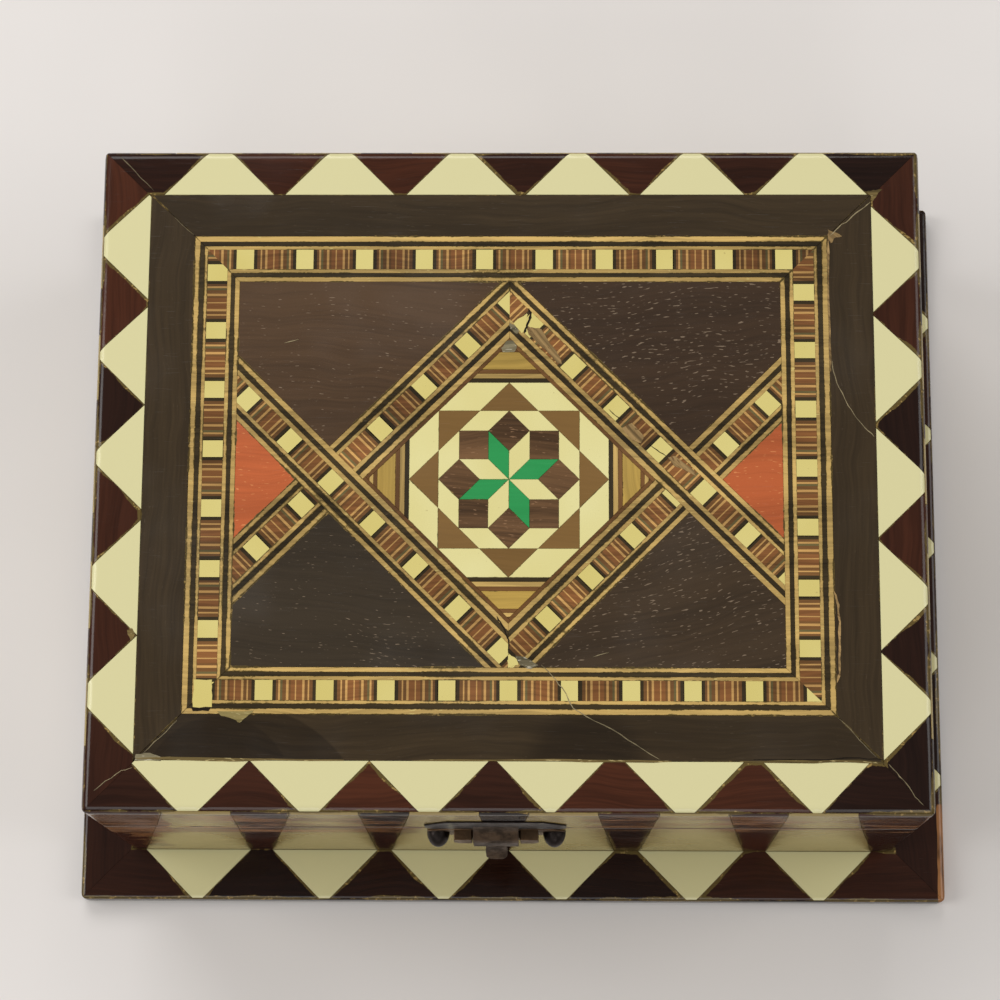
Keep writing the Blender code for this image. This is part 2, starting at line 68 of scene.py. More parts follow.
def srgb(red, green, blue):
    """A colour of 0 to 255, as a screen shows it, as the linear colour that shaders take."""
    shares = [value / 255 for value in (red, green, blue)]
    return tuple(s / 12.92 if s <= 0.04045 else ((s + 0.055) / 1.055) ** 2.4 for s in shares)


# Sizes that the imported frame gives
CASE_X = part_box("lid_rail_right")[1].x
CASE_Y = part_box("lid_rail_back")[1].y
LID_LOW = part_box("lid_rail_front")[0].z
LID_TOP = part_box("lid_rail_front")[1].z
RAIL_W = CASE_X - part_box("lid_rail_right")[0].x
WALL_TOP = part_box("wall_front")[1].z
WALL_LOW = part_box("wall_front")[0].z
WALL_T = CASE_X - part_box("wall_right")[0].x
PLINTH_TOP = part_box("plinth_front")[1].z
PLINTH_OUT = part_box("plinth_right")[1].x - CASE_X
FACE_DROP = mm(0.06)   # how far the laid pieces' faces lie under the top of the solids
FACE = LID_TOP - FACE_DROP

# The lid's nested rectangles: left, front, right, back
FRAME_RECT = mm(-55.0, -43.15, 55.0, 43.85)
BANDING_RECT = mm(-48.1, -36.3, 48.25, 37.2)
PICTURE_RECT = mm(-41.1, -29.3, 41.0, 30.0)

# The star's middle, the tablet's reach and the diamond's strings, as distances from that middle
STAR = Vector(mm(0.0, -0.8))
TABLET_R = mm(14.95)
DIAMOND_STRINGS = mm(15.5, 16.3, 17.0, 17.65, 20.7, 21.25, 21.9, 22.6)

# Strings and blocks of the frame banding, as shares of its width from outside in
FRAME_STRINGS = (0.0, 0.12, 0.218, 0.296, 0.725, 0.81, 0.90, 1.0)
STRING_KINDS = ("light", "dark", "light", "blocks", "light", "dark", "light")

# Stripes of one brown block and the square beside it: kind and width in millimetres
BLOCK = (("line", 0.50), ("brown", 0.50), ("tan", 0.22), ("brown", 0.48), ("tan", 0.34),
         ("red", 0.90), ("tan", 0.18), ("red", 0.62), ("brown", 0.34), ("tan", 0.36),
         ("brown", 0.55), ("moss", 0.34), ("tan", 0.28), ("brown", 0.34), ("line", 0.50))
SQUARE = 2.65
KINDS = ("square", "line", "tan", "brown", "red", "moss")
STRING_SLOTS = {"light": len(KINDS), "dark": len(KINDS) + 1}

# The four sides. tops holds (middle, base width) of the lid's cream points and lows the middles of
# the plinth's, in millimetres along the side as seen from outside. run says which way it lies.
Side = namedtuple("Side", "turn half reach run tops lows")
SIDES = {
    "front": Side(0.0, CASE_X, CASE_Y, "long",
                  ((-46.8, 17.7), (-29.0, 17.6), (-11.5, 17.6), (6.3, 15.8), (25.9, 17.5),
                   (45.2, 15.7)),
                  (-51.5, -30.7, -11.2, 8.1, 29.3, 50.1)),
    "right": Side(math.pi / 2, CASE_Y, CASE_X, "short",
                  ((-34.9, 16.0), (-18.3, 16.6), (-1.2, 16.8), (16.4, 16.6), (33.6, 16.8)),
                  (-39.2, -19.7, -0.2, 19.3, 38.8)),
    "back": Side(math.pi, CASE_X, CASE_Y, "long",
                 ((-46.0, 17.0), (-27.8, 16.0), (-10.3, 15.8), (7.5, 16.8), (26.1, 16.8),
                  (44.6, 16.9)),
                 (-50.4, -30.2, -10.1, 10.1, 30.2, 50.4)),
    "left": Side(-math.pi / 2, CASE_Y, CASE_X, "short",
                 ((-35.7, 17.0), (-18.4, 15.2), (-2.5, 16.0), (15.8, 17.4), (33.5, 17.6)),
                 (-38.8, -19.4, 0.0, 19.4, 38.8)),
}
TAPER = 0.975               # how fast one edge of a lid or plinth point runs inwards
TIP_MIN = mm(0.6)           # half width of the narrowest tip
TOUCH = mm(0.3)             # cream pieces nearer to each other than this meet
RUN_OUT = mm(2.0)           # the ground runs on past the corners before it is mitred
SIDE_TOP_W = mm(10.0)
SIDE_LOW_W = mm(17.2)
SIDE_SPREAD = 0.90          # side pieces stand this much closer together at the lid's top
SIDE_SHIFT = mm(0.9)        # and this much further right there
PLINTH_BASE_W = mm(17.3)
PLINTH_LOW = mm(0.25)       # lower edge of the plinth's veneer
PLINTH_DEPTH = 0.60         # the plinth's ground is darker than the rest by this factor
EASE = mm(0.2)              # how far the shading of a rounded edge runs on into the flat
FOOT_SET_BACK = mm(0.1)     # the core's edge behind the rounding at the parting line
HAIR = mm(0.02)             # clearance under a skin, and the joint between two strings
LID_STEPS = 6               # steps of the lid's rounded edge
PLINTH_STEPS = 4            # steps of the plinth's rounded edge
FOOT_STEPS = 3              # steps of the rounding at the parting line

# First seed of each group of pieces; the next pieces take the numbers after it
SEEDS = {"plinth": 10, "wall": 20, "lid": 30, "band strings": 40, "frame banding": 50,
         "band blocks": 60, "wear": 77, "star": 5}


def length_property(name, description, value):
    return bpy.props.FloatProperty(
        name=name, description=description, default=mm(value), unit="LENGTH")


class BoxSizes(bpy.types.PropertyGroup):
    """Sizes of the veneer and of the rounded edges."""
    veneer: length_property("Veneer", "Thickness of the flat marquetry pieces", 0.9)
    skin: length_property("Side veneer", "Thickness of the veneer that runs over an edge", 0.35)
    joint: length_property("Joint", "Glue joint between two pieces of veneer", 0.05)
    chamfer: length_property("Chamfer", "Softened edge of a piece under the lacquer", 0.035)
    stain: length_property("Glue stain", "How far glue has crept from a joint into a piece", 0.6)
    edge_radius: length_property("Lid edge", "Rounding along the lid's top edge", 1.3)
    foot_radius: length_property("Parting edge", "Rounding where the lid meets the case", 0.45)
    plinth_radius: length_property("Plinth edge", "Rounding along the plinth's top edge", 0.8)
    corner_radius: length_property("Corner", "Rounding of the upright corners", 1.1)


class BandingSizes(bpy.types.PropertyGroup):
    """How regular the block rows and the worn lines are."""
    jitter: length_property("Unevenness", "How far a block lies off its place", 0.14)
    wander: length_property("Wander", "How far a crack strays between two of its points", 0.10)


def colour_property(name, description, *screen):
    return bpy.props.FloatVectorProperty(
        name=name, description=description, default=srgb(*screen), size=3, min=0.0, max=1.0,
        subtype="COLOR")


class BoxColours(bpy.types.PropertyGroup):
    """Colours of the woods, the cream points and the metals."""
    cream: colour_property("Cream", "Points and star pieces", 224, 216, 156)
    # The sides' cream is yellower than the top's, and darker still as painted shade of the upright
    # sides
    aged_shaded_cream: colour_property("Aged shaded cream", "Yellowed side pieces, darkened as painted shade", 158, 137, 83)
    rosewood: colour_property("Rosewood", "Darkest border pieces", 30, 17, 12)
    red_rosewood: colour_property("Red rosewood", "Reddest border pieces", 64, 32, 18)
    frame_wood: colour_property("Dark frame", "Plain frame inside the border", 56, 44, 28)
    panel_wood: colour_property("Panels", "Dark ground of the picture", 68, 51, 34)
    red: colour_property("Red", "Triangles at the ends", 182, 92, 50)
    green: colour_property("Green", "Star rhombi", 40, 140, 74)
    square_brown: colour_property("Square brown", "Squares round the star", 94, 68, 44)
    khaki: colour_property("Khaki", "Triangles round the star", 120, 90, 49)
    ochre: colour_property("Ochre", "Corners round the star tablet", 168, 138, 68)
    string: colour_property("String", "Light strings of the bandings", 176, 146, 86)
    ink: colour_property("Dark string", "Dark strings of the bandings", 52, 42, 24)
    yellow: colour_property("Yellow", "Squares in the bandings", 214, 200, 126)
    tan: colour_property("Tan", "Light stripes of the blocks", 176, 136, 80)
    brown: colour_property("Brown", "Brown stripes of the blocks", 102, 70, 38)
    red_brown: colour_property("Red brown", "Middle stripes of the blocks", 119, 77, 42)
    moss: colour_property("Moss", "Grey green stripes of the blocks", 94, 83, 50)
    glue: colour_property("Glue", "Old glue along the joints", 92, 76, 40)
    plain: colour_property("Plain wood", "Inside of the box", 176, 130, 84)
    raw: colour_property("Worn wood", "Wood where the veneer has worn through", 158, 108, 66)
    bronze: colour_property("Bronze", "Catch and its nails", 78, 60, 42)
    # Also the finish of the catch's leaf, where this dark colour is painted shade
    iron: colour_property("Dark nails", "Domed nails of the catch", 50, 43, 40)
    brass: colour_property("Brass", "Hinges", 178, 150, 96)
    floor: colour_property("Floor", "Plain pale floor", 227, 222, 218)


def sizes():
    return bpy.context.scene.box_sizes


def banding_sizes():
    return bpy.context.scene.banding_sizes


def tint(name):
    """Linear colour of a finish, as the user has set it."""
    return tuple(getattr(bpy.context.scene.box_colours, name))


# Node helpers

def add_node(tree, kind, inputs=None, **settings):
    """Add a node. An input is a value or the output of another node."""
    made = tree.nodes.new(kind)
    for name, value in settings.items():
        setattr(made, name, value)
    for key, value in (inputs or {}).items():
        socket = made.inputs[key]
        if isinstance(value, bpy.types.NodeSocket):
            tree.links.new(value, socket)
        else:
            socket.default_value = value
    return made


def calc(tree, operation, *values):
    """Math node on up to three values or outputs."""
    inputs = dict(enumerate(values))
    return add_node(tree, "ShaderNodeMath", inputs, operation=operation).outputs[0]


def times(tree, first, *others):
    """Product of values or outputs."""
    for other in others:
        first = calc(tree, "MULTIPLY", first, other)
    return first


def plus(tree, first, second):
    return calc(tree, "ADD", first, second)


def minus(tree, first, second):
    return calc(tree, "SUBTRACT", first, second)


def combine(tree, **parts):
    """Vector from its X, Y and Z, each a value or an output."""
    return add_node(tree, "ShaderNodeCombineXYZ", parts).outputs[0]


def scaled(tree, vector, factors):
    """A vector times fixed factors along X, Y and Z."""
    made = add_node(tree, "ShaderNodeVectorMath", {0: vector, 1: factors}, operation="MULTIPLY")
    return made.outputs[0]


def stretched(tree, vector, factor):
    """A vector times one number."""
    made = add_node(tree, "ShaderNodeVectorMath", {0: vector, "Scale": factor}, operation="SCALE")
    return made.outputs[0]


def smooth_step(tree, value, low, high):
    """0 under low, 1 over high, smooth between them."""
    made = add_node(tree, "ShaderNodeMapRange", {"Value": value, "From Min": low, "From Max": high},
                    interpolation_type="SMOOTHSTEP")
    return made.outputs[0]


def noise(tree, vector, scale, detail=2.0, roughness=0.5, distortion=0.0):
    made = add_node(tree, "ShaderNodeTexNoise",
                    {"Vector": vector, "Scale": scale, "Detail": detail, "Roughness": roughness,
                     "Distortion": distortion})
    return made.outputs["Fac"]


def mix_colours(tree, share, first, second, blend="MIX"):
    """Mix two colours, each an output or a linear colour."""
    made = add_node(tree, "ShaderNodeMix", {0: share}, data_type="RGBA", blend_type=blend)
    for index, value in ((6, first), (7, second)):
        if isinstance(value, bpy.types.NodeSocket):
            tree.links.new(value, made.inputs[index])
        else:
            made.inputs[index].default_value = (*value, 1.0)
    return made.outputs[2]


def new_group(name, values, outputs):
    """Shader node group that takes a Vector and named values and gives named values, with the
    sockets inside it."""
    group = bpy.data.node_groups.new(name, "ShaderNodeTree")
    group.interface.new_socket("Vector", in_out="INPUT", socket_type="NodeSocketVector")
    for label, default in values.items():
        socket = group.interface.new_socket(label, in_out="INPUT", socket_type="NodeSocketFloat")
        socket.default_value = default
    for label in outputs:
        group.interface.new_socket(label, in_out="OUTPUT", socket_type="NodeSocketFloat")
    source = group.nodes.new("NodeGroupInput")
    sink = group.nodes.new("NodeGroupOutput")
    return group, source.outputs, sink.inputs


def use_group(tree, name, inputs):
    return add_node(tree, "ShaderNodeGroup", inputs, node_tree=bpy.data.node_groups[name])


def build_wood_figure():
    """Grain of a veneer: broad bands, fibres and short open pores along the grain."""
    group, source, sink = new_group(
        "wood_figure", {"Angle": 0.0, "Warp": 0.3, "Density": 0.3}, ("Bands", "Fibres", "Pores"))
    turned = add_node(group, "ShaderNodeVectorRotate",
                      {"Vector": source["Vector"], "Angle": source["Angle"]},
                      rotation_type="Z_AXIS").outputs[0]
    warp = noise(group, turned, 45.0, 2.0)
    shift = times(group, minus(group, warp, 0.5), source["Warp"], 0.02)
    offset = combine(group, Y=shift)
    bent = add_node(group, "ShaderNodeVectorMath", {0: turned, 1: offset}).outputs[0]
    bands = noise(group, scaled(group, bent, (9.0, 150.0, 150.0)), 1.0, 3.0, 0.6)
    fibres = noise(group, scaled(group, bent, (70.0, 1900.0, 1900.0)), 1.0, 3.0, 0.65)
    pores = noise(group, scaled(group, bent, (900.0, 4200.0, 4200.0)), 1.0, 1.0, 0.4)
    group.links.new(bands, sink["Bands"])
    group.links.new(fibres, sink["Fibres"])
    clusters = noise(group, scaled(group, bent, (60.0, 110.0, 110.0)), 1.0, 2.0)
    level = plus(group, pores, times(group, clusters, 0.16))
    limit = minus(group, 0.84, times(group, source["Density"], 0.14))
    over = minus(group, level, limit)
    group.links.new(smooth_step(group, over, 0.0, 0.06), sink["Pores"])


def build_glue_edge():
    """Where old glue shows along a joint: uneven, and missing in places."""
    group, source, sink = new_group(
        "glue_edge", {"Edge": 0.0, "Amount": 0.5}, ("Mask",))
    vector = source["Vector"]
    patch = smooth_step(group, noise(group, vector, 110.0, 2.0), 0.40, 0.66)
    ragged = noise(group, vector, 1100.0, 3.0, 0.7)
    reach = times(group, plus(group, patch, 0.15), source["Amount"])
    level = plus(group, source["Edge"], times(group, minus(group, ragged, 0.5), 0.8))
    start = minus(group, 1.05, reach)
    mask = smooth_step(group, minus(group, level, start), 0.0, 0.18)
    touched = calc(group, "GREATER_THAN", source["Edge"], 0.02)
    group.links.new(times(group, mask, touched), sink["Mask"])


def build_lacquer():
    """Thick old lacquer: slow ripples, fine scratches and specks that dull it."""
    group, source, sink = new_group(
        "lacquer", {"Gloss": 0.2, "Scuff": 0.3}, ("Roughness", "Height"))
    vector = source["Vector"]
    ripple = noise(group, vector, 130.0, 2.0)
    fine = noise(group, vector, 2300.0, 2.0)
    scratch_lines = noise(group, scaled(group, vector, (260.0, 5200.0, 5200.0)), 1.0, 2.0, 0.5, 0.4)
    scratches = smooth_step(group, scratch_lines, 0.66, 0.72)
    clouds = smooth_step(group, noise(group, vector, 38.0, 3.0, 0.6), 0.48, 0.70)
    dull = times(group, plus(group, clouds, scratches), source["Scuff"])
    group.links.new(plus(group, source["Gloss"], times(group, dull, 0.5)), sink["Roughness"])
    height = plus(group, ripple, times(group, fine, 0.05))
    group.links.new(minus(group, height, times(group, scratches, 0.02)), sink["Height"])


# Worn strips of the outside: ranges of x and z in millimetres, and how far the wear has gone
WORN_STRIPS = ((-64.0, -51.0, 30.0, 55.0, 0.90), (-60.0, -54.0, 5.0, 30.0, 0.55),
               (-52.0, -13.0, 31.0, 38.9, 0.72), (-50.0, -13.0, 39.2, 55.0, 0.52),
               (12.0, 63.0, 33.5, 38.8, 0.56), (10.0, 64.0, 39.3, 55.0, 0.48))
FRONT_FACE_Y = -50.3          # only what lies before this wears as the front does
PARTING_WEAR_AND_SHADE_Z = (38.4, 39.7)        # bare wood along the parting line, darkened as painted shade in the gap between lid and case
PLINTH_EDGE_X = (69.5, 75.0)  # bare right edge of the plinth
PLINTH_EDGE_Y = (-59.5, -43.0)


def build_front_wear_and_shade():
    """Bare streaked wood along the front's worn strips and on the plinth's right edge, and a patchy
    band of bare wood along the parting line, darkened as painted shade in the gap between lid and
    case.
    """
    group, source, sink = new_group("front_wear", {}, ("Worn", "Streaks"))
    vector = source["Vector"]
    x, y, z = add_node(group, "ShaderNodeSeparateXYZ", {"Vector": vector}).outputs
    streaks = noise(group, scaled(group, vector, (40.0, 40.0, 620.0)), 1.0, 4.0, 0.7)
    patches = noise(group, scaled(group, vector, (75.0, 75.0, 220.0)), 1.0, 3.0, 0.6)

    def band(value, low, high, soft):
        rise = smooth_step(group, value, mm(low - soft), mm(low + soft))
        fall = smooth_step(group, value, mm(high - soft), mm(high + soft))
        return times(group, rise, minus(group, 1.0, fall))

    front = calc(group, "LESS_THAN", y, mm(FRONT_FACE_Y))
    zone = times(group, band(x, *PLINTH_EDGE_X, 0.3), 0.9, band(y, *PLINTH_EDGE_Y, 1.5))
    for x_low, x_high, z_low, z_high, amount in WORN_STRIPS:
        strip = times(group, band(x, x_low, x_high, 2.0), band(z, z_low, z_high, 0.4), front,
                      amount)
        zone = calc(group, "MAXIMUM", zone, strip)
    level = plus(group, times(group, streaks, 0.3), times(group, patches, 0.7))
    level = plus(group, level, times(group, zone, 0.45))
    worn = times(group, smooth_step(group, level, 0.70, 0.78),
                 calc(group, "GREATER_THAN", zone, 0.02))
    # Patchy band along the parting line: painted shade in the gap between lid and case, laid over bare
    # wood. It joins the wear mask and lowers the streaks, so the wood turns dark there.
    parting_wear_and_shade = times(group, band(z, *PARTING_WEAR_AND_SHADE_Z, 0.2), front, smooth_step(group, patches, 0.38, 0.46))
    worn = calc(group, "MAXIMUM", worn, parting_wear_and_shade)
    group.links.new(worn, sink["Worn"])
    group.links.new(minus(group, streaks, times(group, parting_wear_and_shade, 0.4)), sink["Streaks"])


def weathered_and_shaded(tree, base, coordinates):
    """Lay the worn strips, and the painted shade along the parting line, over a colour."""
    wear = use_group(tree, "front_wear", {"Vector": coordinates})
    raw = tint("raw")
    deep = tuple(value * 0.22 for value in raw)
    bare = mix_colours(tree, smooth_step(tree, wear.outputs["Streaks"], 0.43, 0.56), deep, raw)
    return mix_colours(tree, wear.outputs["Worn"], base, bare)


def start_material(name):
    """New material with its object coordinates and its Principled shader."""
    made = bpy.data.materials.new(name)
    made.use_nodes = True
    tree = made.node_tree
    shader = tree.nodes["Principled BSDF"]
    coordinates = add_node(tree, "ShaderNodeTexCoord").outputs["Object"]
    return made, tree, shader, coordinates


def attribute(tree, name):
    return add_node(tree, "ShaderNodeAttribute", attribute_name=name).outputs["Fac"]


def lacquered(tree, shader, coordinates, gloss, scuff, bump):
    """Give the shader the shared lacquer: its roughness and its ripples."""
    lacquer = use_group(tree, "lacquer", {"Vector": coordinates, "Gloss": gloss, "Scuff": scuff})
    tree.links.new(lacquer.outputs["Roughness"], shader.inputs["Roughness"])
    ripple = add_node(tree, "ShaderNodeBump",
                      {"Height": lacquer.outputs["Height"], "Strength": bump, "Distance": 0.0004})
    tree.links.new(ripple.outputs[0], shader.inputs["Normal"])


def veneer_material(name, colour, angle=0.0, contrast=0.5, pores=0.0, glue=0.4, gloss=0.22,
                    tone=0.25, scuff=0.3, pale=None, other=None, shine=0.35, density=0.3,
                    worn=False):
    """Lacquered veneer with grain, open pores and stained joints. Pieces differ by their tone,
    and run from colour to other where a second colour is given. With worn set, the worn strips and the
    painted shade along the front's parting line lie over it."""
    if name in bpy.data.materials:
        return bpy.data.materials[name]
    made, tree, shader, coordinates = start_material(name)
    figure = use_group(tree, "wood_figure",
                       {"Vector": coordinates, "Angle": angle, "Density": density})
    shade = plus(tree, times(tree, figure.outputs["Bands"], 0.55),
                 times(tree, figure.outputs["Fibres"], 0.45))
    shade = plus(tree, 1 - 0.6 * contrast,
                 times(tree, smooth_step(tree, shade, 0.34, 0.66), 1.15 * contrast))
    piece = attribute(tree, "tone")
    level = plus(tree, 1 - tone, times(tree, piece, 2 * tone))
    level = times(tree, level, shade)
    grey = combine(tree, X=level, Y=level, Z=level)
    base = mix_colours(tree, 1.0, mix_colours(tree, piece, colour, other or colour), grey, "MULTIPLY")
    if pores:
        fleck = pale or tuple(min(1.0, value * 4 + 0.05) for value in colour)
        amount = times(tree, figure.outputs["Pores"], pores)
        base = mix_colours(tree, amount, base, fleck)
    if glue:
        edge = use_group(tree, "glue_edge",
                         {"Vector": coordinates, "Edge": attribute(tree, "stain"), "Amount": glue})
        flecks = smooth_step(tree, noise(tree, coordinates, 1500.0, 2.0, 0.6), 0.58, 0.66)
        crust = mix_colours(tree, times(tree, flecks, 0.6), tint("glue"),
                            tint("string"))
        base = mix_colours(tree, edge.outputs["Mask"], base, crust)
    if worn:
        base = weathered_and_shaded(tree, base, coordinates)
    tree.links.new(base, shader.inputs["Base Color"])
    shader.inputs["Specular IOR Level"].default_value = shine
    lacquered(tree, shader, coordinates, gloss, scuff, 0.25)
    return made


def cream_material(name, colour, glue=0.3, worn=False):
    """Smooth cream material of the points: slightly cloudy, yellower in places, glossy. With worn set,
    the worn strips and the painted shade along the front's parting line lie over it.
    """
    if name in bpy.data.materials:
        return bpy.data.materials[name]
    made, tree, shader, coordinates = start_material(name)
    clouds = noise(tree, coordinates, 60.0, 2.0)
    warm = (colour[0] * 0.93, colour[1] * 0.90, colour[2] * 0.78)
    base = mix_colours(tree, smooth_step(tree, clouds, 0.3, 0.75), colour, warm)
    specks = smooth_step(tree, noise(tree, coordinates, 1700.0, 1.0), 0.76, 0.82)
    base = mix_colours(tree, times(tree, specks, 0.25), base, tint("brown"))
    edge = use_group(tree, "glue_edge",
                     {"Vector": coordinates, "Edge": attribute(tree, "stain"), "Amount": glue})
    base = mix_colours(tree, times(tree, edge.outputs["Mask"], 0.8), base,
                       tint("glue"))
    if worn:
        base = weathered_and_shaded(tree, base, coordinates)
    tree.links.new(base, shader.inputs["Base Color"])
    lacquered(tree, shader, coordinates, 0.22, 0.15, 0.2)
    return made


def metal_material(name, colour, roughness, patina):
    """Old metal: darker patina in clouds, bright only where it is rubbed."""
    if name in bpy.data.materials:
        return bpy.data.materials[name]
    made, tree, shader, coordinates = start_material(name)
    clouds = smooth_step(tree, noise(tree, coordinates, 420.0, 4.0, 0.65), 0.35, 0.65)
    dark = tuple(value * 0.28 for value in colour)
    base = mix_colours(tree, times(tree, clouds, patina), colour, dark)
    tree.links.new(base, shader.inputs["Base Color"])
    shader.inputs["Metallic"].default_value = 0.85
    grain = plus(tree, roughness, times(tree, clouds, 0.25))
    tree.links.new(grain, shader.inputs["Roughness"])
    pits = add_node(tree, "ShaderNodeBump",
                    {"Height": noise(tree, coordinates, 1500.0, 3.0), "Strength": 0.3,
                     "Distance": 0.0002})
    tree.links.new(pits.outputs[0], shader.inputs["Normal"])
    return made


def plain_wood_material(name, angle=0.0):
    """Bare inner wood with a thin dull finish."""
    return veneer_material(name, tint("plain"), angle=angle, contrast=0.3, glue=0.0, gloss=0.5,
                           tone=0.1, scuff=0.2)


# Mesh helpers

SHARP_ANGLE = 30.0   # degrees; flatter edges are shaded smooth
NOTHING = 1e-7       # lengths below this count as none
DOUBLE = mm(0.02)    # outline points nearer than this are one

def new_bm():
    """Mesh under construction, with the two values that the finishes read."""
    bm = bmesh.new()
    bm.verts.layers.float.new("stain")
    bm.verts.layers.float.new("tone")
    return bm


def signed_area(outline):
    pairs = zip(outline, outline[1:] + outline[:1])
    return sum(a[0] * b[1] - b[0] * a[1] for a, b in pairs) / 2


def crossing(first, second):
    """Where two lines meet. Each is a point and a direction."""
    turn = first[1].cross(second[1])
    if abs(turn) < 1e-9:
        return (first[0] + second[0]) / 2
    return first[0] + first[1] * ((second[0] - first[0]).cross(second[1]) / turn)


def inset(outline, distance):
    """Convex outline moved inwards, or None where nothing is left of it. It runs anticlockwise,
    and the ends of an edge that has vanished lie on one point."""
    points = [Vector(point) for point in outline]
    count = len(points)
    lines = []
    for here, after in zip(points, points[1:] + points[:1]):
        along = (after - here).normalized()
        lines.append((here + Vector((-along.y, along.x)) * distance, along))
    alive = list(range(count))
    while len(alive) > 2:
        corners = {edge: crossing(lines[alive[k - 1]], lines[edge]) for k, edge in enumerate(alive)}
        lengths = []
        for k, edge in enumerate(alive):
            after = alive[(k + 1) % len(alive)]
            lengths.append(((corners[after] - corners[edge]).dot(lines[edge][1]), edge))
        shortest, edge = min(lengths)
        if shortest > NOTHING:
            break
        alive.remove(edge)
    if len(alive) < 3:
        return None
    moved = []
    for i in range(count):
        while i not in alive:
            i = (i + 1) % count
        moved.append(corners[i])
    return moved


def without_doubles(outline):
    """Outline as vectors, without points that lie on the one before."""
    points = [Vector(point) for point in outline]
    return [here for i, here in enumerate(points) if (here - points[i - 1]).length > DOUBLE]


def add_tile(bm, outline, slot=0, top=0.0, thickness=None, tone=0.5, joint=None):
    """Closed piece of veneer in the (x, y) plane, with a fine joint and a softened edge."""
    size = sizes()
    thickness = size.veneer if thickness is None else thickness
    joint = size.joint if joint is None else joint
    outline = without_doubles(outline)
    if signed_area(outline) < 0:
        outline = outline[::-1]
    body = inset(outline, joint / 2)
    if not body:
        return
    rings = [(body, top - thickness, 0.0), (body, top - size.chamfer, 1.0)]
    face = inset(body, size.chamfer)
    if face:
        rings.append((face, top, 1.0))
        for share in (1.0, 0.6, 0.3):
            middle = inset(body, size.chamfer + size.stain * share)
            if middle:
                rings.append((middle, top, 1.0 - share))
                break
    stain = bm.verts.layers.float["stain"]
    tones = bm.verts.layers.float["tone"]
    made = []
    for points, level, value in rings:
        ring = []
        for point in points:
            if ring and (Vector(ring[-1].co[:2]) - point).length < NOTHING:
                ring.append(ring[-1])
                continue
            if ring and (Vector(ring[0].co[:2]) - point).length < NOTHING:
                ring.append(ring[0])
                continue
            vert = bm.verts.new((point.x, point.y, level))
            vert[stain] = value
            vert[tones] = tone
            ring.append(vert)
        made.append(ring)
    outlines = [made[0][::-1], made[-1]]
    for lower, upper in zip(made, made[1:]):
        for i in range(len(lower)):
            j = (i + 1) % len(lower)
            outlines.append((lower[i], lower[j], upper[j], upper[i]))
    for verts in outlines:
        verts = list(dict.fromkeys(verts))
        if len(verts) > 2:
            bm.faces.new(verts).material_index = slot


def add_loft(bm, rings, slot=0):
    """Closed solid through rings of the same number of points."""
    made = [[bm.verts.new(point) for point in ring] for ring in rings]
    faces = [bm.faces.new(made[0][::-1]), bm.faces.new(made[-1])]
    for lower, upper in zip(made, made[1:]):
        for i in range(len(lower)):
            j = (i + 1) % len(lower)
            faces.append(bm.faces.new((lower[i], lower[j], upper[j], upper[i])))
    for face in faces:
        face.material_index = slot


def add_bar(bm, half, section, slot=0):
    """Closed bar along x from a (y, z) section, with mitred ends."""
    add_loft(bm, [[(sign * (half - y), y, z) for y, z in section] for sign in (-1, 1)], slot)


def cut_at(bm, point, normal, keep_all=True):
    """Cut along a plane. Without keep_all what lies beyond it goes, and the cuts are closed."""
    geom = bm.verts[:] + bm.edges[:] + bm.faces[:]
    made = bmesh.ops.bisect_plane(bm, geom=geom, plane_co=point, plane_no=normal,
                                  clear_outer=not keep_all)
    if not keep_all:
        edges = [item for item in made["geom_cut"] if isinstance(item, bmesh.types.BMEdge)]
        if edges:
            bmesh.ops.edgeloop_fill(bm, edges=edges)


def side_matrix(side):
    turn, _, reach, *_ = SIDES[side]
    return Matrix.Rotation(turn, 4, "Z") @ Matrix.Translation((0, -reach, 0))


def add_piece(name, mesh, body, replaced=()):
    """Put a mesh in the scene as a piece that rides on a body and stands for its nodes."""
    obj = bpy.data.objects.new(name, mesh)
    bpy.context.scene.collection.objects.link(obj)
    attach(obj, body)
    if replaced:
        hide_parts(*replaced)
    return obj


def make_piece(name, bm, finishes, body, replaced=()):
    """Turn a mesh under construction into a piece."""
    bmesh.ops.recalc_face_normals(bm, faces=bm.faces)
    mesh = bpy.data.meshes.new(name)
    bm.to_mesh(mesh)
    bm.free()
    for finish in finishes:
        mesh.materials.append(finish)
    mesh.shade_smooth()
    mesh.set_sharp_from_angle(angle=math.radians(SHARP_ANGLE))
    return add_piece(name, mesh, body, replaced)


def arc(centre, radius, start, end, steps):
    """Points (y, z) of an arc between two angles in degrees."""
    points = []
    for step in range(steps + 1):
        angle = math.radians(start + (end - start) * step / steps)
        points.append((centre[0] + radius * math.cos(angle), centre[1] + radius * math.sin(angle)))
    return points


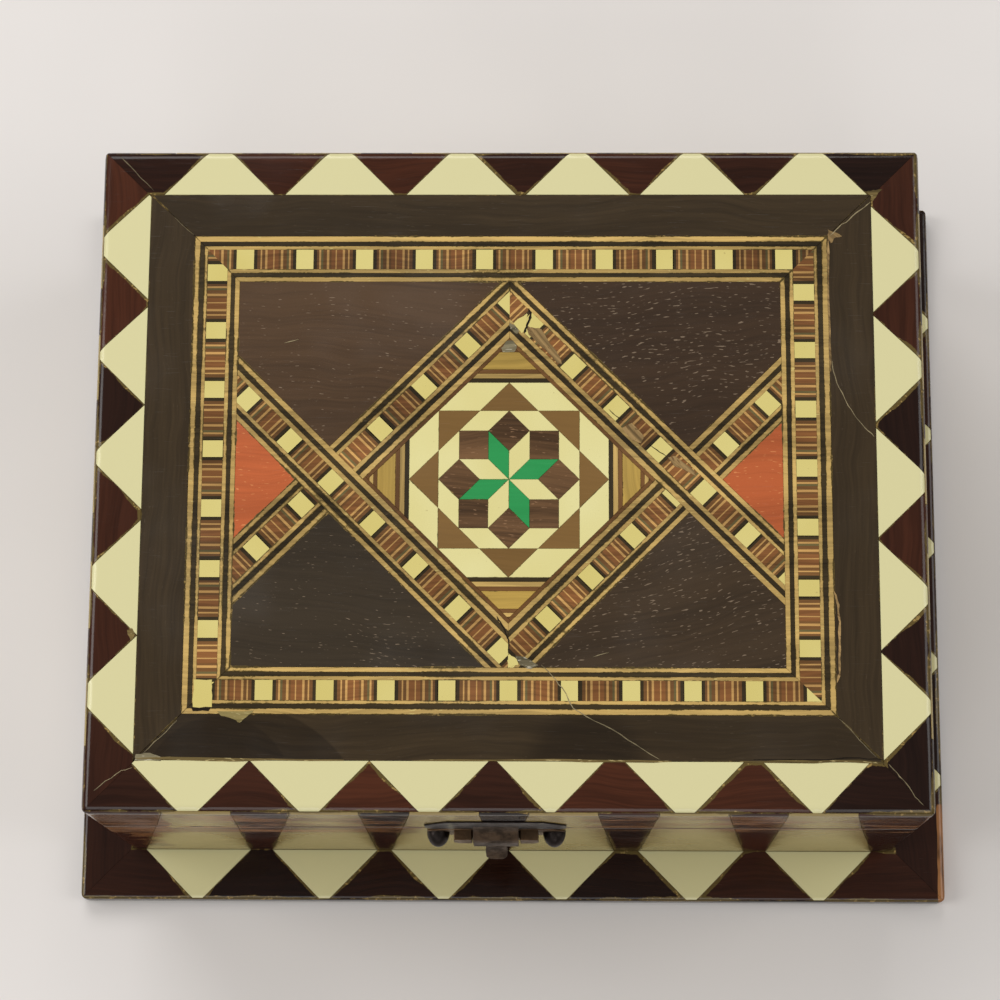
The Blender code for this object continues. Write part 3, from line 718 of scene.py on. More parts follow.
class Skin:
    """Developed surface over a (y, z) section: x stays, s runs along the section, h off it."""

    def __init__(self, section, half, outer, corner):
        self.points = [Vector(point) for point in section]
        self.levels = [0.0]
        for before, after in zip(self.points, self.points[1:]):
            self.levels.append(self.levels[-1] + (after - before).length)
        self.half = half
        self.outer = outer
        self.corner = corner

    def normal(self, i):
        before = self.points[max(i - 1, 0)]
        after = self.points[min(i + 1, len(self.points) - 1)]
        along = (after - before).normalized()
        return Vector((along.y, -along.x))

    def place(self, x, s, h):
        """Point of the side frame, with the upright corners rounded."""
        i = 0
        while i < len(self.levels) - 2 and s > self.levels[i + 1]:
            i += 1
        share = (s - self.levels[i]) / (self.levels[i + 1] - self.levels[i])
        y, z = self.points[i].lerp(self.points[i + 1], share)
        ny, nz = self.normal(i).lerp(self.normal(i + 1), min(1.0, max(0.0, share))).normalized()
        r = self.corner
        a = abs(x) - (self.half - self.outer - r)
        b = self.outer + r - y
        if a > 0 and b > 0 and math.hypot(a, b) > r:
            far = math.hypot(a, b)
            reach = r - h * ny
            side = 1 if x > 0 else -1
            return Vector((side * (self.half - self.outer - r + a / far * reach),
                           self.outer + r - b / far * reach, z + h * nz))
        return Vector((x, y + h * ny, z + h * nz))

    def bend(self, bm):
        """Bend a flat mesh of (x, s, h) over the surface and mitre its ends."""
        for level in self.levels[1:-1]:
            cut_at(bm, (0, level, 0), (0, 1, 0))
        for share in (1.0, 0.5, 0.0):
            x = self.half - self.outer - self.corner * share
            cut_at(bm, (x, 0, 0), (1, 0, 0))
            cut_at(bm, (-x, 0, 0), (-1, 0, 0))
        for vert in bm.verts:
            vert.co = self.place(*vert.co)
        play = sizes().joint / 2
        for sign in (-1, 1):
            cut_at(bm, (sign * (self.half - play), 0, 0), (sign, 1, 0), keep_all=False)


def lid_skin(side):
    """Over the lid's border, its rounded edge and its side, down to the parting line."""
    size = sizes()
    r = size.edge_radius
    foot = size.foot_radius
    section = [(border_width(side), FACE), (r + EASE, FACE)]
    section += arc((r, FACE - r), r, 90, 180, LID_STEPS)
    section += [(0.0, FACE - r - EASE), (0.0, LID_LOW + foot + EASE)]
    section += arc((foot, LID_LOW + foot), foot, 180, 270, FOOT_STEPS)
    return Skin(section, SIDES[side].half, 0.0, size.corner_radius)


def wall_skin(side):
    """Down a case wall from the parting line to the plinth."""
    size = sizes()
    foot = size.foot_radius
    section = arc((foot, WALL_TOP - foot), foot, 90, 180, FOOT_STEPS)
    section += [(0.0, WALL_TOP - foot - EASE), (0.0, WALL_LOW)]
    return Skin(section, SIDES[side].half, 0.0, size.corner_radius)


def plinth_skin(side):
    """Over the plinth from the wall outwards and down its edge."""
    size = sizes()
    r = size.plinth_radius
    section = [(WALL_T / 2, PLINTH_TOP), (r - PLINTH_OUT + EASE, PLINTH_TOP)]
    section += arc((r - PLINTH_OUT, PLINTH_TOP - r), r, 90, 180, PLINTH_STEPS)
    section += [(-PLINTH_OUT, PLINTH_TOP - r - EASE), (-PLINTH_OUT, PLINTH_LOW)]
    return Skin(section, SIDES[side].half, -PLINTH_OUT, size.corner_radius)


def ridge_level(skin, steps):
    """Level of the middle of the rounded edge, which follows the section's first two points."""
    return skin.levels[2 + steps // 2]


def border_width(side):
    """Width of the pointed border on a side, from the lid's edge to the dark frame."""
    left, front, right, back = FRAME_RECT
    return {"front": CASE_Y + front, "right": CASE_X - right,
            "back": CASE_Y - back, "left": CASE_X + left}[side]


def row_of_points(low, high, pieces, reach):
    """Cream outlines and the ground between them. Each piece is [low left, low right, high left,
    high right], and low and high are levels along the skin."""
    pieces = [list(piece) for piece in pieces]
    for piece, after in zip(pieces, pieces[1:]):
        for right, left in ((1, 0), (3, 2)):
            if after[left] - piece[right] < TOUCH:
                piece[right] = after[left] = (piece[right] + after[left]) / 2
    cream = []
    ground = []
    before = (-reach, -reach)
    for low_left, low_right, high_left, high_right in pieces:
        cream.append([(low_left, low), (low_right, low), (high_right, high), (high_left, high)])
        ground.append([(before[0], low), (low_left, low), (high_left, high), (before[1], high)])
        before = (low_right, high_right)
    ground.append([(before[0], low), (reach, low), (reach, high), (before[1], high)])
    return cream, ground


def upright_piece(middle, width, depth):
    """Edges of a cream point along its side: left and right at its base, then at its tip."""
    base = width / 2
    tip = max(TIP_MIN, base - TAPER * depth)
    return middle - base, middle + base, middle - tip, middle + tip


def side_piece(side, index, *levels):
    """Left and right edge of a cream piece on the side of lid and case at each height."""
    edges = []
    for z in levels:
        share = (LID_TOP - z) / (LID_TOP - PLINTH_TOP)
        middle = SIDES[side].lows[index] * (SIDE_SPREAD + (1 - SIDE_SPREAD) * share)
        middle = mm(middle) + SIDE_SHIFT * (1 - share)
        width = SIDE_TOP_W + (SIDE_LOW_W - SIDE_TOP_W) * share
        edges += [middle - width / 2, middle + width / 2]
    return edges


def tile_rows(rows, skin, name, nodes, side, body, seed, core, depth=0.9):
    """Make the cream pieces and the ground of a side, bent over its skin, on their core. rows
    holds cream outlines, ground outlines and the cream's finish. depth scales the ground's tones."""
    size = sizes()
    chance = random.Random(seed)
    turn, half, _, run, _, _ = SIDES[side]
    rosewood = veneer_material("rosewood_" + run, tint("rosewood"), angle=turn, contrast=0.6,
                               glue=0.9, gloss=0.14, scuff=0.2, other=tint("red_rosewood"),
                               shine=0.3, worn=True)
    plain = plain_wood_material("bare_wood_" + run, turn)
    # Side rows take the darker cream: yellowing and painted shade of the sides
    creams = [cream_material("cream_points", tint("cream"), glue=0.45),
              cream_material("aged_shaded_cream", tint("aged_shaded_cream"), glue=0.6, worn=True)]
    cream_bm = new_bm()
    ground_bm = new_bm()
    for cream_row, ground_row, cream_slot in rows:
        for outline in cream_row:
            add_tile(cream_bm, outline, cream_slot, 0.0, size.skin, chance.random())
        for outline in ground_row:
            add_tile(ground_bm, outline, 0, 0.0, size.skin, chance.random() * depth)
    skin.bend(cream_bm)
    skin.bend(ground_bm)
    stain = ground_bm.verts.layers.float["stain"]
    for vert in ground_bm.verts:
        if vert.co.z < PLINTH_TOP - size.plinth_radius:
            vert[stain] = 0.0
    add_bar(ground_bm, half - HAIR, core, 1)
    for bm in (cream_bm, ground_bm):
        bm.transform(side_matrix(side))
    make_piece(name + "_inlays_" + side, cream_bm, creams, body,
               (nodes[0] + side,))
    make_piece(name + "_veneered_" + side, ground_bm, [rosewood, plain], body,
               (nodes[1] + side,))


def build_lid_side(side, seed):
    """Border of one side of the lid: points on top and the pieces that run down its side."""
    size = sizes()
    skin = lid_skin(side)
    r = size.edge_radius
    ridge = ridge_level(skin, LID_STEPS)
    reach = SIDES[side].half + RUN_OUT
    tops = SIDES[side].tops
    top_pieces = [upright_piece(mm(middle), mm(width), ridge) for middle, width in tops]
    side_pieces = [side_piece(side, index, LID_TOP - r, LID_LOW) for index in range(len(tops))]
    rows = [(*row_of_points(0.0, ridge, top_pieces, reach), 0),
            (*row_of_points(ridge, skin.levels[-1], side_pieces, reach), 1)]
    t = size.skin + HAIR
    foot = size.foot_radius
    core = [(t, LID_LOW + foot), (foot, LID_LOW + t), (foot + FOOT_SET_BACK, LID_LOW + HAIR),
            (RAIL_W, LID_LOW + HAIR), (RAIL_W, FACE - t), (r, FACE - t), (t, FACE - r)]
    tile_rows(rows, skin, "lid", ("lid_points_", "lid_rail_"), side, "lid", seed, core)


def build_wall(side, seed):
    """One case wall with its cream pieces."""
    size = sizes()
    skin = wall_skin(side)
    pieces = [side_piece(side, index, WALL_TOP, WALL_LOW) for index in range(len(SIDES[side].lows))]
    rows = [(*row_of_points(0.0, skin.levels[-1], pieces, SIDES[side].half + RUN_OUT), 1)]
    t = size.skin + HAIR
    foot = size.foot_radius
    core = [(t, WALL_LOW), (WALL_T, WALL_LOW), (WALL_T, WALL_TOP - HAIR),
            (foot + FOOT_SET_BACK, WALL_TOP - HAIR), (foot, WALL_TOP - t), (t, WALL_TOP - foot)]
    tile_rows(rows, skin, "case", ("wall_points_", "wall_"), side, "case", seed, core)


def build_plinth_side(side, seed):
    """One strip of the plinth with its row of points."""
    size = sizes()
    skin = plinth_skin(side)
    start = WALL_T / 2
    ridge = ridge_level(skin, PLINTH_STEPS)
    end = skin.levels[-1]
    reach = SIDES[side].half + PLINTH_OUT + RUN_OUT
    pieces = [upright_piece(mm(middle), PLINTH_BASE_W, ridge - start)
              for middle in SIDES[side].lows]
    cream_row, ground_row = row_of_points(start, ridge, pieces, reach)
    for low, high in ((ridge, end), (0.0, start)):
        ground_row.append([(-reach, low), (reach, low), (reach, high), (-reach, high)])
    t = size.skin + HAIR
    r = size.plinth_radius
    core = [(t - PLINTH_OUT, 0.0), (WALL_T, 0.0), (WALL_T, PLINTH_TOP - t),
            (r - PLINTH_OUT, PLINTH_TOP - t), (t - PLINTH_OUT, PLINTH_TOP - r)]
    tile_rows([(cream_row, ground_row, 0)], skin, "plinth", ("plinth_points_", "plinth_"), side,
              "case", seed, core, PLINTH_DEPTH)


def rect_between(share):
    """Rectangle at a share of the way between the banding's outer and inner one."""
    return tuple(a + (b - a) * share for a, b in zip(BANDING_RECT, PICTURE_RECT))


def rect_strip(outer, inner, side):
    """The strip between two nested rectangles on one side, with mitred ends."""
    first = list(SIDES).index(side)
    ends = []
    for left, front, right, back in (outer, inner):
        corners = [(left, front), (right, front), (right, back), (left, back)]
        ends += [corners[first], corners[(first + 1) % 4]]
    return [ends[0], ends[1], ends[3], ends[2]]


# Bandings

def new_geometry_tree(name, inputs):
    """Geometry node tree with named inputs, each (kind, label, default), and its input sockets."""
    tree = bpy.data.node_groups.new(name, "GeometryNodeTree")
    tree.interface.new_socket("Geometry", in_out="OUTPUT", socket_type="NodeSocketGeometry")
    for kind, label, default in inputs:
        socket = tree.interface.new_socket(label, in_out="INPUT", socket_type="NodeSocket" + kind)
        if default is not None:
            socket.default_value = default
    return tree, tree.nodes.new("NodeGroupInput").outputs


def end_geometry_tree(tree, result):
    tree.links.new(result, tree.nodes.new("NodeGroupOutput").inputs[0])


def finish_input(kind):
    """Name of the tree's input for the finish of a kind of stripe."""
    return kind.title() + " Finish"


def build_block_tree():
    """Geometry nodes for a row of squares and striped blocks along X, cut later to its place."""
    tree, source = new_geometry_tree("block_row", [
        ("Float", "First Square", 0.0), ("Float", "Pitch", mm(9.1)), ("Float", "Length", mm(100.0)),
        ("Float", "Width", mm(3.0)), ("Float", "Thickness", mm(0.9)), ("Float", "Unevenness", 0.0),
        ("Int", "Seed", 0), *(("Material", finish_input(kind), None) for kind in KINDS)])
    block = sum(width for _, width in BLOCK)
    total = block + SQUARE

    def stripe(kind, start, width):
        cube = add_node(tree, "GeometryNodeMeshCube", {"Size": (width / total, 1.0, 1.0)})
        moved = add_node(tree, "GeometryNodeTransform",
                         {"Geometry": cube.outputs["Mesh"],
                          "Translation": ((start + width / 2) / total, 0.0, -0.5)})
        return add_node(tree, "GeometryNodeStoreNamedAttribute",
                        {"Geometry": moved.outputs[0], "Name": "kind", "Value": KINDS.index(kind)},
                        data_type="INT", domain="FACE").outputs[0]

    join = tree.nodes.new("GeometryNodeJoinGeometry")
    start = -block / 2
    for kind, width in BLOCK:
        tree.links.new(stripe(kind, start, width), join.inputs[0])
        start += width
    count = calc(tree, "CEIL", calc(tree, "DIVIDE", source["Length"], source["Pitch"]))
    step = combine(tree, X=source["Pitch"])
    line = add_node(tree, "GeometryNodeMeshLine",
                    {"Count": plus(tree, count, 1.0), "Offset": step,
                     "Start Location": combine(tree, X=source["First Square"])}, mode="OFFSET")
    spread = combine(tree, X=source["Unevenness"])
    shift = add_node(tree, "FunctionNodeRandomValue",
                     {0: stretched(tree, spread, -1.0), 1: spread, "Seed": source["Seed"]},
                     data_type="FLOAT_VECTOR")
    uneven = add_node(tree, "GeometryNodeSetPosition",
                      {"Geometry": line.outputs[0], "Offset": shift.outputs[0]})
    between = add_node(tree, "GeometryNodeSetPosition",
                       {"Geometry": line.outputs[0], "Offset": stretched(tree, step, 0.5)})
    block_size = combine(tree, X=source["Pitch"], Y=source["Width"], Z=source["Thickness"])
    flip = add_node(tree, "FunctionNodeRandomValue", {"Min": 0, "Max": 1, "Seed": source["Seed"]},
                    data_type="INT")
    squares = add_node(tree, "GeometryNodeInstanceOnPoints",
                       {"Points": uneven.outputs[0], "Instance": stripe("square", -SQUARE / 2, SQUARE),
                        "Scale": block_size})
    striped = add_node(tree, "GeometryNodeInstanceOnPoints",
                       {"Points": between.outputs[0], "Instance": join.outputs[0],
                        "Rotation": combine(tree, Z=times(tree, flip.outputs[2], math.pi)),
                        "Scale": block_size})
    blocks = tree.nodes.new("GeometryNodeJoinGeometry")
    tree.links.new(squares.outputs[0], blocks.inputs[0])
    tree.links.new(striped.outputs[0], blocks.inputs[0])
    tone = add_node(tree, "FunctionNodeRandomValue", {"Seed": source["Seed"]}, data_type="FLOAT")
    toned = add_node(tree, "GeometryNodeStoreNamedAttribute",
                     {"Geometry": blocks.outputs[0], "Name": "tone", "Value": tone.outputs[1]},
                     data_type="FLOAT", domain="INSTANCE")
    result = add_node(tree, "GeometryNodeRealizeInstances", {"Geometry": toned.outputs[0]}).outputs[0]
    kind_value = add_node(tree, "GeometryNodeInputNamedAttribute", {"Name": "kind"},
                          data_type="INT").outputs[0]
    for index, kind in enumerate(KINDS):
        chosen = add_node(tree, "FunctionNodeCompare", {2: kind_value, 3: index}, data_type="INT",
                          operation="EQUAL")
        result = add_node(tree, "GeometryNodeSetMaterial",
                          {"Geometry": result, "Selection": chosen.outputs[0],
                           "Material": source[finish_input(kind)]}).outputs[0]
    end_geometry_tree(tree, result)


def banding_finishes():
    """Finishes of the block row in the order of KINDS, then the light and the dark string."""
    stripes = (("line", "ink", 0.3, 0.5), ("tan", "tan", 0.25, 0.5), ("brown", "brown", 0.3, 0.6),
               ("red_brown", "red_brown", 0.25, 0.6), ("moss", "moss", 0.3, 0.5))
    return [
        cream_material("banding_square", tint("yellow"), glue=0.35),
        *(veneer_material("banding_" + name, tint(key), tone=tone, glue=0.0, contrast=contrast)
          for name, key, tone, contrast in stripes),
        veneer_material("string_light", tint("string"), tone=0.14, glue=0.30, contrast=0.6,
                        pores=0.5, density=0.5, scuff=0.5, pale=tint("yellow")),
        veneer_material("string_dark", tint("ink"), tone=0.2, glue=0.0, contrast=0.9,
                        pores=0.4, density=0.2),
    ]


def add_strings(bm, strip_between, chance):
    """Lay the light and dark strings beside a block row. strip_between takes two of their edges."""
    for index, kind in enumerate(STRING_KINDS):
        if kind in STRING_SLOTS:
            add_tile(bm, strip_between(index, index + 1), STRING_SLOTS[kind], FACE,
                     tone=chance.random(), joint=HAIR)


def run_nodes(name, tree_name, values):
    """Run a geometry node tree on an empty mesh and return the plain mesh that it makes."""
    tree = bpy.data.node_groups[tree_name]
    holder = bpy.data.objects.new(name, bpy.data.meshes.new(name))
    bpy.context.scene.collection.objects.link(holder)
    modifier = holder.modifiers.new("Nodes", "NODES")
    modifier.node_group = tree
    for item in tree.interface.items_tree:
        if item.in_out == "INPUT" and item.name in values:
            modifier[item.identifier] = values[item.name]
    graph = bpy.context.evaluated_depsgraph_get()
    mesh = bpy.data.meshes.new_from_object(holder.evaluated_get(graph))
    holder.modifiers.remove(modifier)
    bpy.data.objects.remove(holder)
    return mesh


def block_row(seed, start, end, anchor, pitch, width):
    """Mesh of a block row along X from start to end, with a square centred at anchor."""
    first = anchor - math.ceil((anchor - start) / pitch + 1) * pitch
    values = {"First Square": first, "Pitch": pitch, "Length": end - first + pitch, "Width": width,
              "Thickness": sizes().veneer, "Unevenness": banding_sizes().jitter, "Seed": seed}
    for kind, finish in zip(KINDS, banding_finishes()):
        values[finish_input(kind)] = finish
    return run_nodes("block_row", "block_row", values)


def banding_bm(row, placing, clips):
    """Start a banding with its block row, put in place and cut to its outline."""
    bm = bmesh.new()
    order = {material.name: slot for slot, material in enumerate(banding_finishes()[:len(KINDS)])}
    slots = [order[material.name] if material else 0 for material in row.materials]
    bm.from_mesh(row)
    for face in bm.faces:
        face.material_index = slots[face.material_index]
    bpy.data.meshes.remove(row)
    bm.verts.layers.float.new("stain")
    bm.transform(placing)
    for point, normal in clips:
        cut_at(bm, (*point, 0), (*normal, 0), keep_all=False)
    return bm


def clips_of(outline):
    """The planes that cut a mesh to a convex outline."""
    if signed_area(outline) < 0:
        outline = outline[::-1]
    clips = []
    for here, after in zip(outline, outline[1:] + outline[:1]):
        along = Vector(after) - Vector(here)
        clips.append((here, (along.y, -along.x)))
    return clips


# Where a square lies along each side of the frame banding, and the row's pitch, in millimetres
FRAME_ROWS = {"front": (0.1, 9.03), "right": (1.0, 9.1), "back": (-5.2, 9.11), "left": (-3.9, 9.18)}
BLOCKS = STRING_KINDS.index("blocks")

# Pitches that a row runs on past its side before it is cut. The blocks' chance tones count
# from the row's start, so another number here changes which blocks are darker.
RUN_ON = 1000


def build_frame_banding(side, seed):
    """One side of the banding round the picture: strings outside and inside, blocks between."""
    anchor, pitch = mm(*FRAME_ROWS[side])

    def strip_between(first, second):
        return rect_strip(rect_between(FRAME_STRINGS[first]), rect_between(FRAME_STRINGS[second]),
                          side)

    outline = strip_between(BLOCKS, BLOCKS + 1)
    turn = Matrix.Rotation(SIDES[side].turn, 4, "Z")
    local = [turn.inverted() @ Vector((*point, 0)) for point in outline]
    width = max(p.y for p in local) - min(p.y for p in local)
    half = max(abs(p.x) for p in local)
    centre = sum(local, Vector()) / 4
    reach = half + RUN_ON * pitch
    row = block_row(seed, -reach, reach, anchor, pitch, width)
    placing = turn @ Matrix.Translation((0, centre.y, FACE))
    bm = banding_bm(row, placing, clips_of(outline))
    add_strings(bm, strip_between, random.Random(seed))
    make_piece("banding_" + side, bm, banding_finishes(), "lid",
               ("banding_frame_" + side,))


# Directions across the picture's pieces
DIRECTIONS = {"x": Vector((1, 0)), "y": Vector((0, 1)),
              "rise": Vector((1, 1)).normalized(), "fall": Vector((1, -1)).normalized()}


def picture_outline(limits):
    """The picture's rectangle cut by lines: (direction, low, high) from the star's middle."""
    left, front, right, back = PICTURE_RECT
    outline = [Vector(p) - STAR for p in ((left, front), (right, front), (right, back), (left, back))]
    for key, low, high in limits:
        for normal, limit in ((DIRECTIONS[key], high), (-DIRECTIONS[key], low and -low)):
            if limit is None:
                continue
            kept = []
            for i, here in enumerate(outline):
                before = outline[i - 1]
                d_here = here.dot(normal) - limit
                d_before = before.dot(normal) - limit
                if d_here * d_before < 0:
                    kept.append(before.lerp(here, d_before / (d_before - d_here)))
                if d_here <= 0:
                    kept.append(here)
            outline = kept
    return [tuple(point + STAR) for point in outline]


ROW_HALF = mm(48.0)   # half of a diagonal block row before it is cut
DIAMOND_IN = DIAMOND_STRINGS[0]
DIAMOND_OUT = DIAMOND_STRINGS[-1]

# Diamond bands: node, axis across, side of the star, axis that ends them with its limits, half of
# the picture they keep to, and where a square lies along the band with the row's pitch
BANDS = (
    ("diamond_band_front_left", "rise", -1, None, (None, 0.0), (-0.5, 9.03)),
    ("diamond_band_back_right", "rise", 1, None, (0.0, None), (3.6, 9.15)),
    ("diamond_band_back_left", "fall", -1, (-DIAMOND_IN, None), (None, 0.0), (1.0, 9.2)),
    ("diamond_band_front_right", "fall", 1, (None, DIAMOND_IN), (0.0, None), (-1.9, 8.95)),
    ("crossing_band_left", "fall", -1, (None, -DIAMOND_OUT), (None, None), (-24.7, 9.4)),
    ("crossing_band_right", "fall", 1, (DIAMOND_OUT, None), (None, None), (26.8, 9.0)),
)


def build_diamond_band(index):
    """One diagonal band, its strings and its block row."""
    node, across, sign, ends, half, row_place = BANDS[index]
    anchor, pitch = mm(*row_place)
    along = "fall" if across == "rise" else "rise"

    def strip_between(first, second):
        near, far = DIAMOND_STRINGS[first], DIAMOND_STRINGS[second]
        low, high = (near, far) if sign > 0 else (-far, -near)
        limits = [(across, low, high)]
        if ends:
            limits.append((along, *ends))
        if half != (None, None):
            limits.append(("x", *half))
        return picture_outline(limits)

    near, far = DIAMOND_STRINGS[BLOCKS], DIAMOND_STRINGS[BLOCKS + 1]
    direction = DIRECTIONS[along]
    centre = STAR + DIRECTIONS[across] * (sign * (near + far) / 2)
    angle = math.atan2(direction.y, direction.x)
    placing = Matrix.Translation((*centre, FACE)) @ Matrix.Rotation(angle, 4, "Z")
    row = block_row(SEEDS["band blocks"] + index, -ROW_HALF, ROW_HALF, anchor, pitch, far - near)
    bm = banding_bm(row, placing, clips_of(strip_between(BLOCKS, BLOCKS + 1)))
    add_strings(bm, strip_between, random.Random(SEEDS["band strings"] + index))
    make_piece("banding_" + node, bm, banding_finishes(), "lid", (node,))


# Star tablet

def polar(degrees):
    """Point of the unit circle."""
    angle = math.radians(degrees)
    return Vector((math.cos(angle), math.sin(angle)))


def mosaic_outlines():
    """Pieces of the star tablet by finish, in units of a rhombus side, round the middle."""
    found = {"green": [], "cream": [], "square": [], "khaki": []}
    root = math.sqrt(0.5)
    inner = 1 + root          # reach of the squares' outer corners
    outer = 1 + 2 * root      # reach of the tablet's own corners along one axis
    middle = Vector((0, 0))
    for k in range(8):
        before, along, after = (polar(45 * (k + step)) for step in (-1, 0, 1))
        found["green" if k % 2 == 0 else "cream"].append([middle, along, along + after, after])
        found["square"].append([along, along + after, before + along + after, before + along])
    for k in range(4):
        turn = Matrix.Rotation(math.radians(90 * k), 2)
        shapes = {
            "cream": [[(root, inner), (inner, inner), (1, outer), (0, outer)],
                      [(-root, inner), (0, outer), (-1, outer), (-inner, inner)],
                      [(0, outer + 1), (1, outer), (outer, outer), (outer - 1, outer + 1)],
                      [(0, outer + 1), (1 - outer, outer + 1), (-outer, outer), (-1, outer)]],
            "khaki": [[(-1, outer), (1, outer), (0, outer + 1)],
                      [(1, outer), (outer, 1), (outer, outer)]],
        }
        for kind, outlines in shapes.items():
            for outline in outlines:
                found[kind].append([turn @ Vector(point) for point in outline])
    return found


MOSAIC_JOINT = mm(0.03)


def build_star():
    """Star tablet, cut to its octagon, and the line between it and the bands."""
    bm = new_bm()
    chance = random.Random(SEEDS["star"])
    unit = TABLET_R / (2 + math.sqrt(2))
    for slot, outlines in enumerate(mosaic_outlines().values()):
        for outline in outlines:
            points = [tuple(STAR + point * unit) for point in outline]
            add_tile(bm, points, slot, FACE, tone=chance.random(), joint=MOSAIC_JOINT)
    for across, along, reach in (("rise", "fall", DIAMOND_IN), ("fall", "rise", TABLET_R)):
        for low, high in ((TABLET_R, DIAMOND_IN), (-DIAMOND_IN, -TABLET_R)):
            strip = picture_outline([(across, low, high), (along, -reach, reach)])
            add_tile(bm, strip, 4, FACE, tone=chance.random(), joint=HAIR)
    finishes = [
        veneer_material("star_green", tint("green"), contrast=0.12, tone=0.06, glue=0.1,
                        gloss=0.3),
        cream_material("star_cream", tint("cream"), glue=0.1),
        veneer_material("star_brown", tint("square_brown"), contrast=0.8, tone=0.2, glue=0.15,
                        pores=0.35, density=0.55),
        veneer_material("star_khaki", tint("khaki"), contrast=0.12, tone=0.08, glue=0.1),
        veneer_material("star_line", tint("brown"), contrast=0.5, tone=0.2, glue=0.0),
    ]
    make_piece("star_mosaic", bm, finishes, "lid", ("star_tablet",))


# Strips of a star corner from the tablet outwards: finish and distances from the star's middle
CORNER_STRIPS = (("dark", 14.95, 15.6), ("light", 15.6, 16.35), ("brown", 16.35, 17.0),
                 ("ochre", 17.0, 19.7), ("brown", 19.7, 20.3), ("light", 20.3, 20.9),
                 ("brown", 20.9, 22.3))
CORNER_KINDS = {"dark": "ink", "light": "string", "brown": "brown", "ochre": "ochre"}
SLIVER = mm(0.1) ** 2   # area below which a cut strip is left out


def build_star_corner(name, key, sign):
    """Stack of strips that fills one corner between the tablet and the diamond's bands."""
    bm = new_bm()
    chance = random.Random(len(name))
    angle = 0.0 if key == "y" else math.pi / 2
    kinds = list(CORNER_KINDS)
    for kind, *reach in CORNER_STRIPS:
        low, high = sorted(mm(sign * distance) for distance in reach)
        outline = picture_outline([(key, low, high), ("rise", -TABLET_R, TABLET_R),
                                   ("fall", -TABLET_R, TABLET_R)])
        if len(outline) > 2 and abs(signed_area(outline)) > SLIVER:
            add_tile(bm, outline, kinds.index(kind), FACE, tone=chance.random(), joint=HAIR)
    finishes = []
    for kind, colour in CORNER_KINDS.items():
        finish = {"contrast": 0.35, "tone": 0.1, "glue": 0.15} if kind == "ochre" else {"glue": 0.0}
        finishes.append(veneer_material("corner_" + kind + "_" + key, tint(colour), angle=angle,
                                        **finish))
    make_piece("corner_stack_" + name, bm, finishes, "lid", ("star_corner_" + name,))


# Corners of the star: name, axis and side of the star
STAR_CORNERS = (("back", "y", 1), ("front", "y", -1), ("right", "x", 1), ("left", "x", -1))


PORE_FILLING = srgb(150, 130, 108)

# Grounds of the picture: node, colour factors, grain angle, density of the pores and limits
PANELS = (
    ("panel_back_left", (1.22, 1.15, 1.10), 3.0, 0.34,
     [("fall", None, -DIAMOND_OUT), ("rise", -DIAMOND_IN, None), ("x", None, 0.0)]),
    ("panel_back_right", (0.70, 0.66, 0.66), -6.0, 0.62,
     [("rise", DIAMOND_OUT, None), ("fall", None, DIAMOND_IN), ("x", 0.0, None)]),
    ("panel_front_left", (0.60, 0.72, 0.82), 8.0, 0.42,
     [("rise", None, -DIAMOND_OUT), ("fall", -DIAMOND_IN, None), ("x", None, 0.0)]),
    ("panel_front_right", (0.74, 0.78, 0.80), -14.0, 0.62,
     [("fall", DIAMOND_OUT, None), ("rise", None, DIAMOND_IN), ("x", 0.0, None)]),
)


def build_panel(index):
    """One dark ground panel of the picture."""
    node, factors, angle, density, limits = PANELS[index]
    colour = tuple(value * factor for value, factor in zip(tint("panel_wood"), factors))
    finish = veneer_material("ground_" + node, colour, angle=math.radians(angle), contrast=0.35,
                             pores=0.55, glue=0.25, gloss=0.3, tone=0.0, pale=PORE_FILLING,
                             density=density)
    bm = new_bm()
    add_tile(bm, picture_outline(limits), 0, FACE)
    make_piece("ground_" + node, bm, [finish], "lid", (node,))


def build_wedge(name, limits, tone):
    """Red triangle at one end of the picture."""
    finish = veneer_material("red_wedge", tint("red"), contrast=0.25, tone=0.12, glue=0.3,
                             gloss=0.32, pores=0.3, density=0.6, scuff=0.5)
    bm = new_bm()
    add_tile(bm, picture_outline(limits), 0, FACE, tone=tone)
    make_piece("red_wedge_" + name, bm, [finish], "lid", ("red_triangle_" + name,))


# Darker patches of old lacquer on the front of the dark frame: middle, radius, softness and how
# much light they leave
FRAME_PATCHES = (((-40.5, -55.5), 20.7, 0.2, 0.62), ((-42.5, -47.5), 10.8, 0.2, 0.76),
                 ((11.5, -44.5), 8.6, 2.2, 0.60))


def patch_lacquer(finish):
    """Darken the frame's colour inside its round patches."""
    tree = finish.node_tree
    shader = tree.nodes["Principled BSDF"]
    base = shader.inputs["Base Color"].links[0].from_socket
    flat = scaled(tree, tree.nodes["Texture Coordinate"].outputs["Object"], (1.0, 1.0, 0.0))
    for middle, radius, soft, light in FRAME_PATCHES:
        away = add_node(tree, "ShaderNodeVectorMath", {0: flat, 1: (*mm(*middle), 0.0)},
                        operation="DISTANCE").outputs["Value"]
        outside = smooth_step(tree, away, mm(radius - soft), mm(radius + soft))
        dark = mix_colours(tree, 1.0, base, (light, light * 0.97, light * 0.94), "MULTIPLY")
        base = mix_colours(tree, outside, dark, base)
    tree.links.new(base, shader.inputs["Base Color"])


def build_dark_frame(side):
    """One mitred strip of the plain dark frame."""
    name = "front" if side == "front" else SIDES[side].run
    finish = veneer_material("frame_wood_" + name, tint("frame_wood"), angle=SIDES[side].turn,
                             contrast=0.45, pores=0.1, glue=0.2, tone=0.06)
    if side == "front":
        patch_lacquer(finish)
    bm = new_bm()
    add_tile(bm, rect_strip(FRAME_RECT, BANDING_RECT, side), 0, FACE)
    make_piece("frame_strip_" + side, bm, [finish], "lid",
               ("dark_frame_" + side,))


# Stage

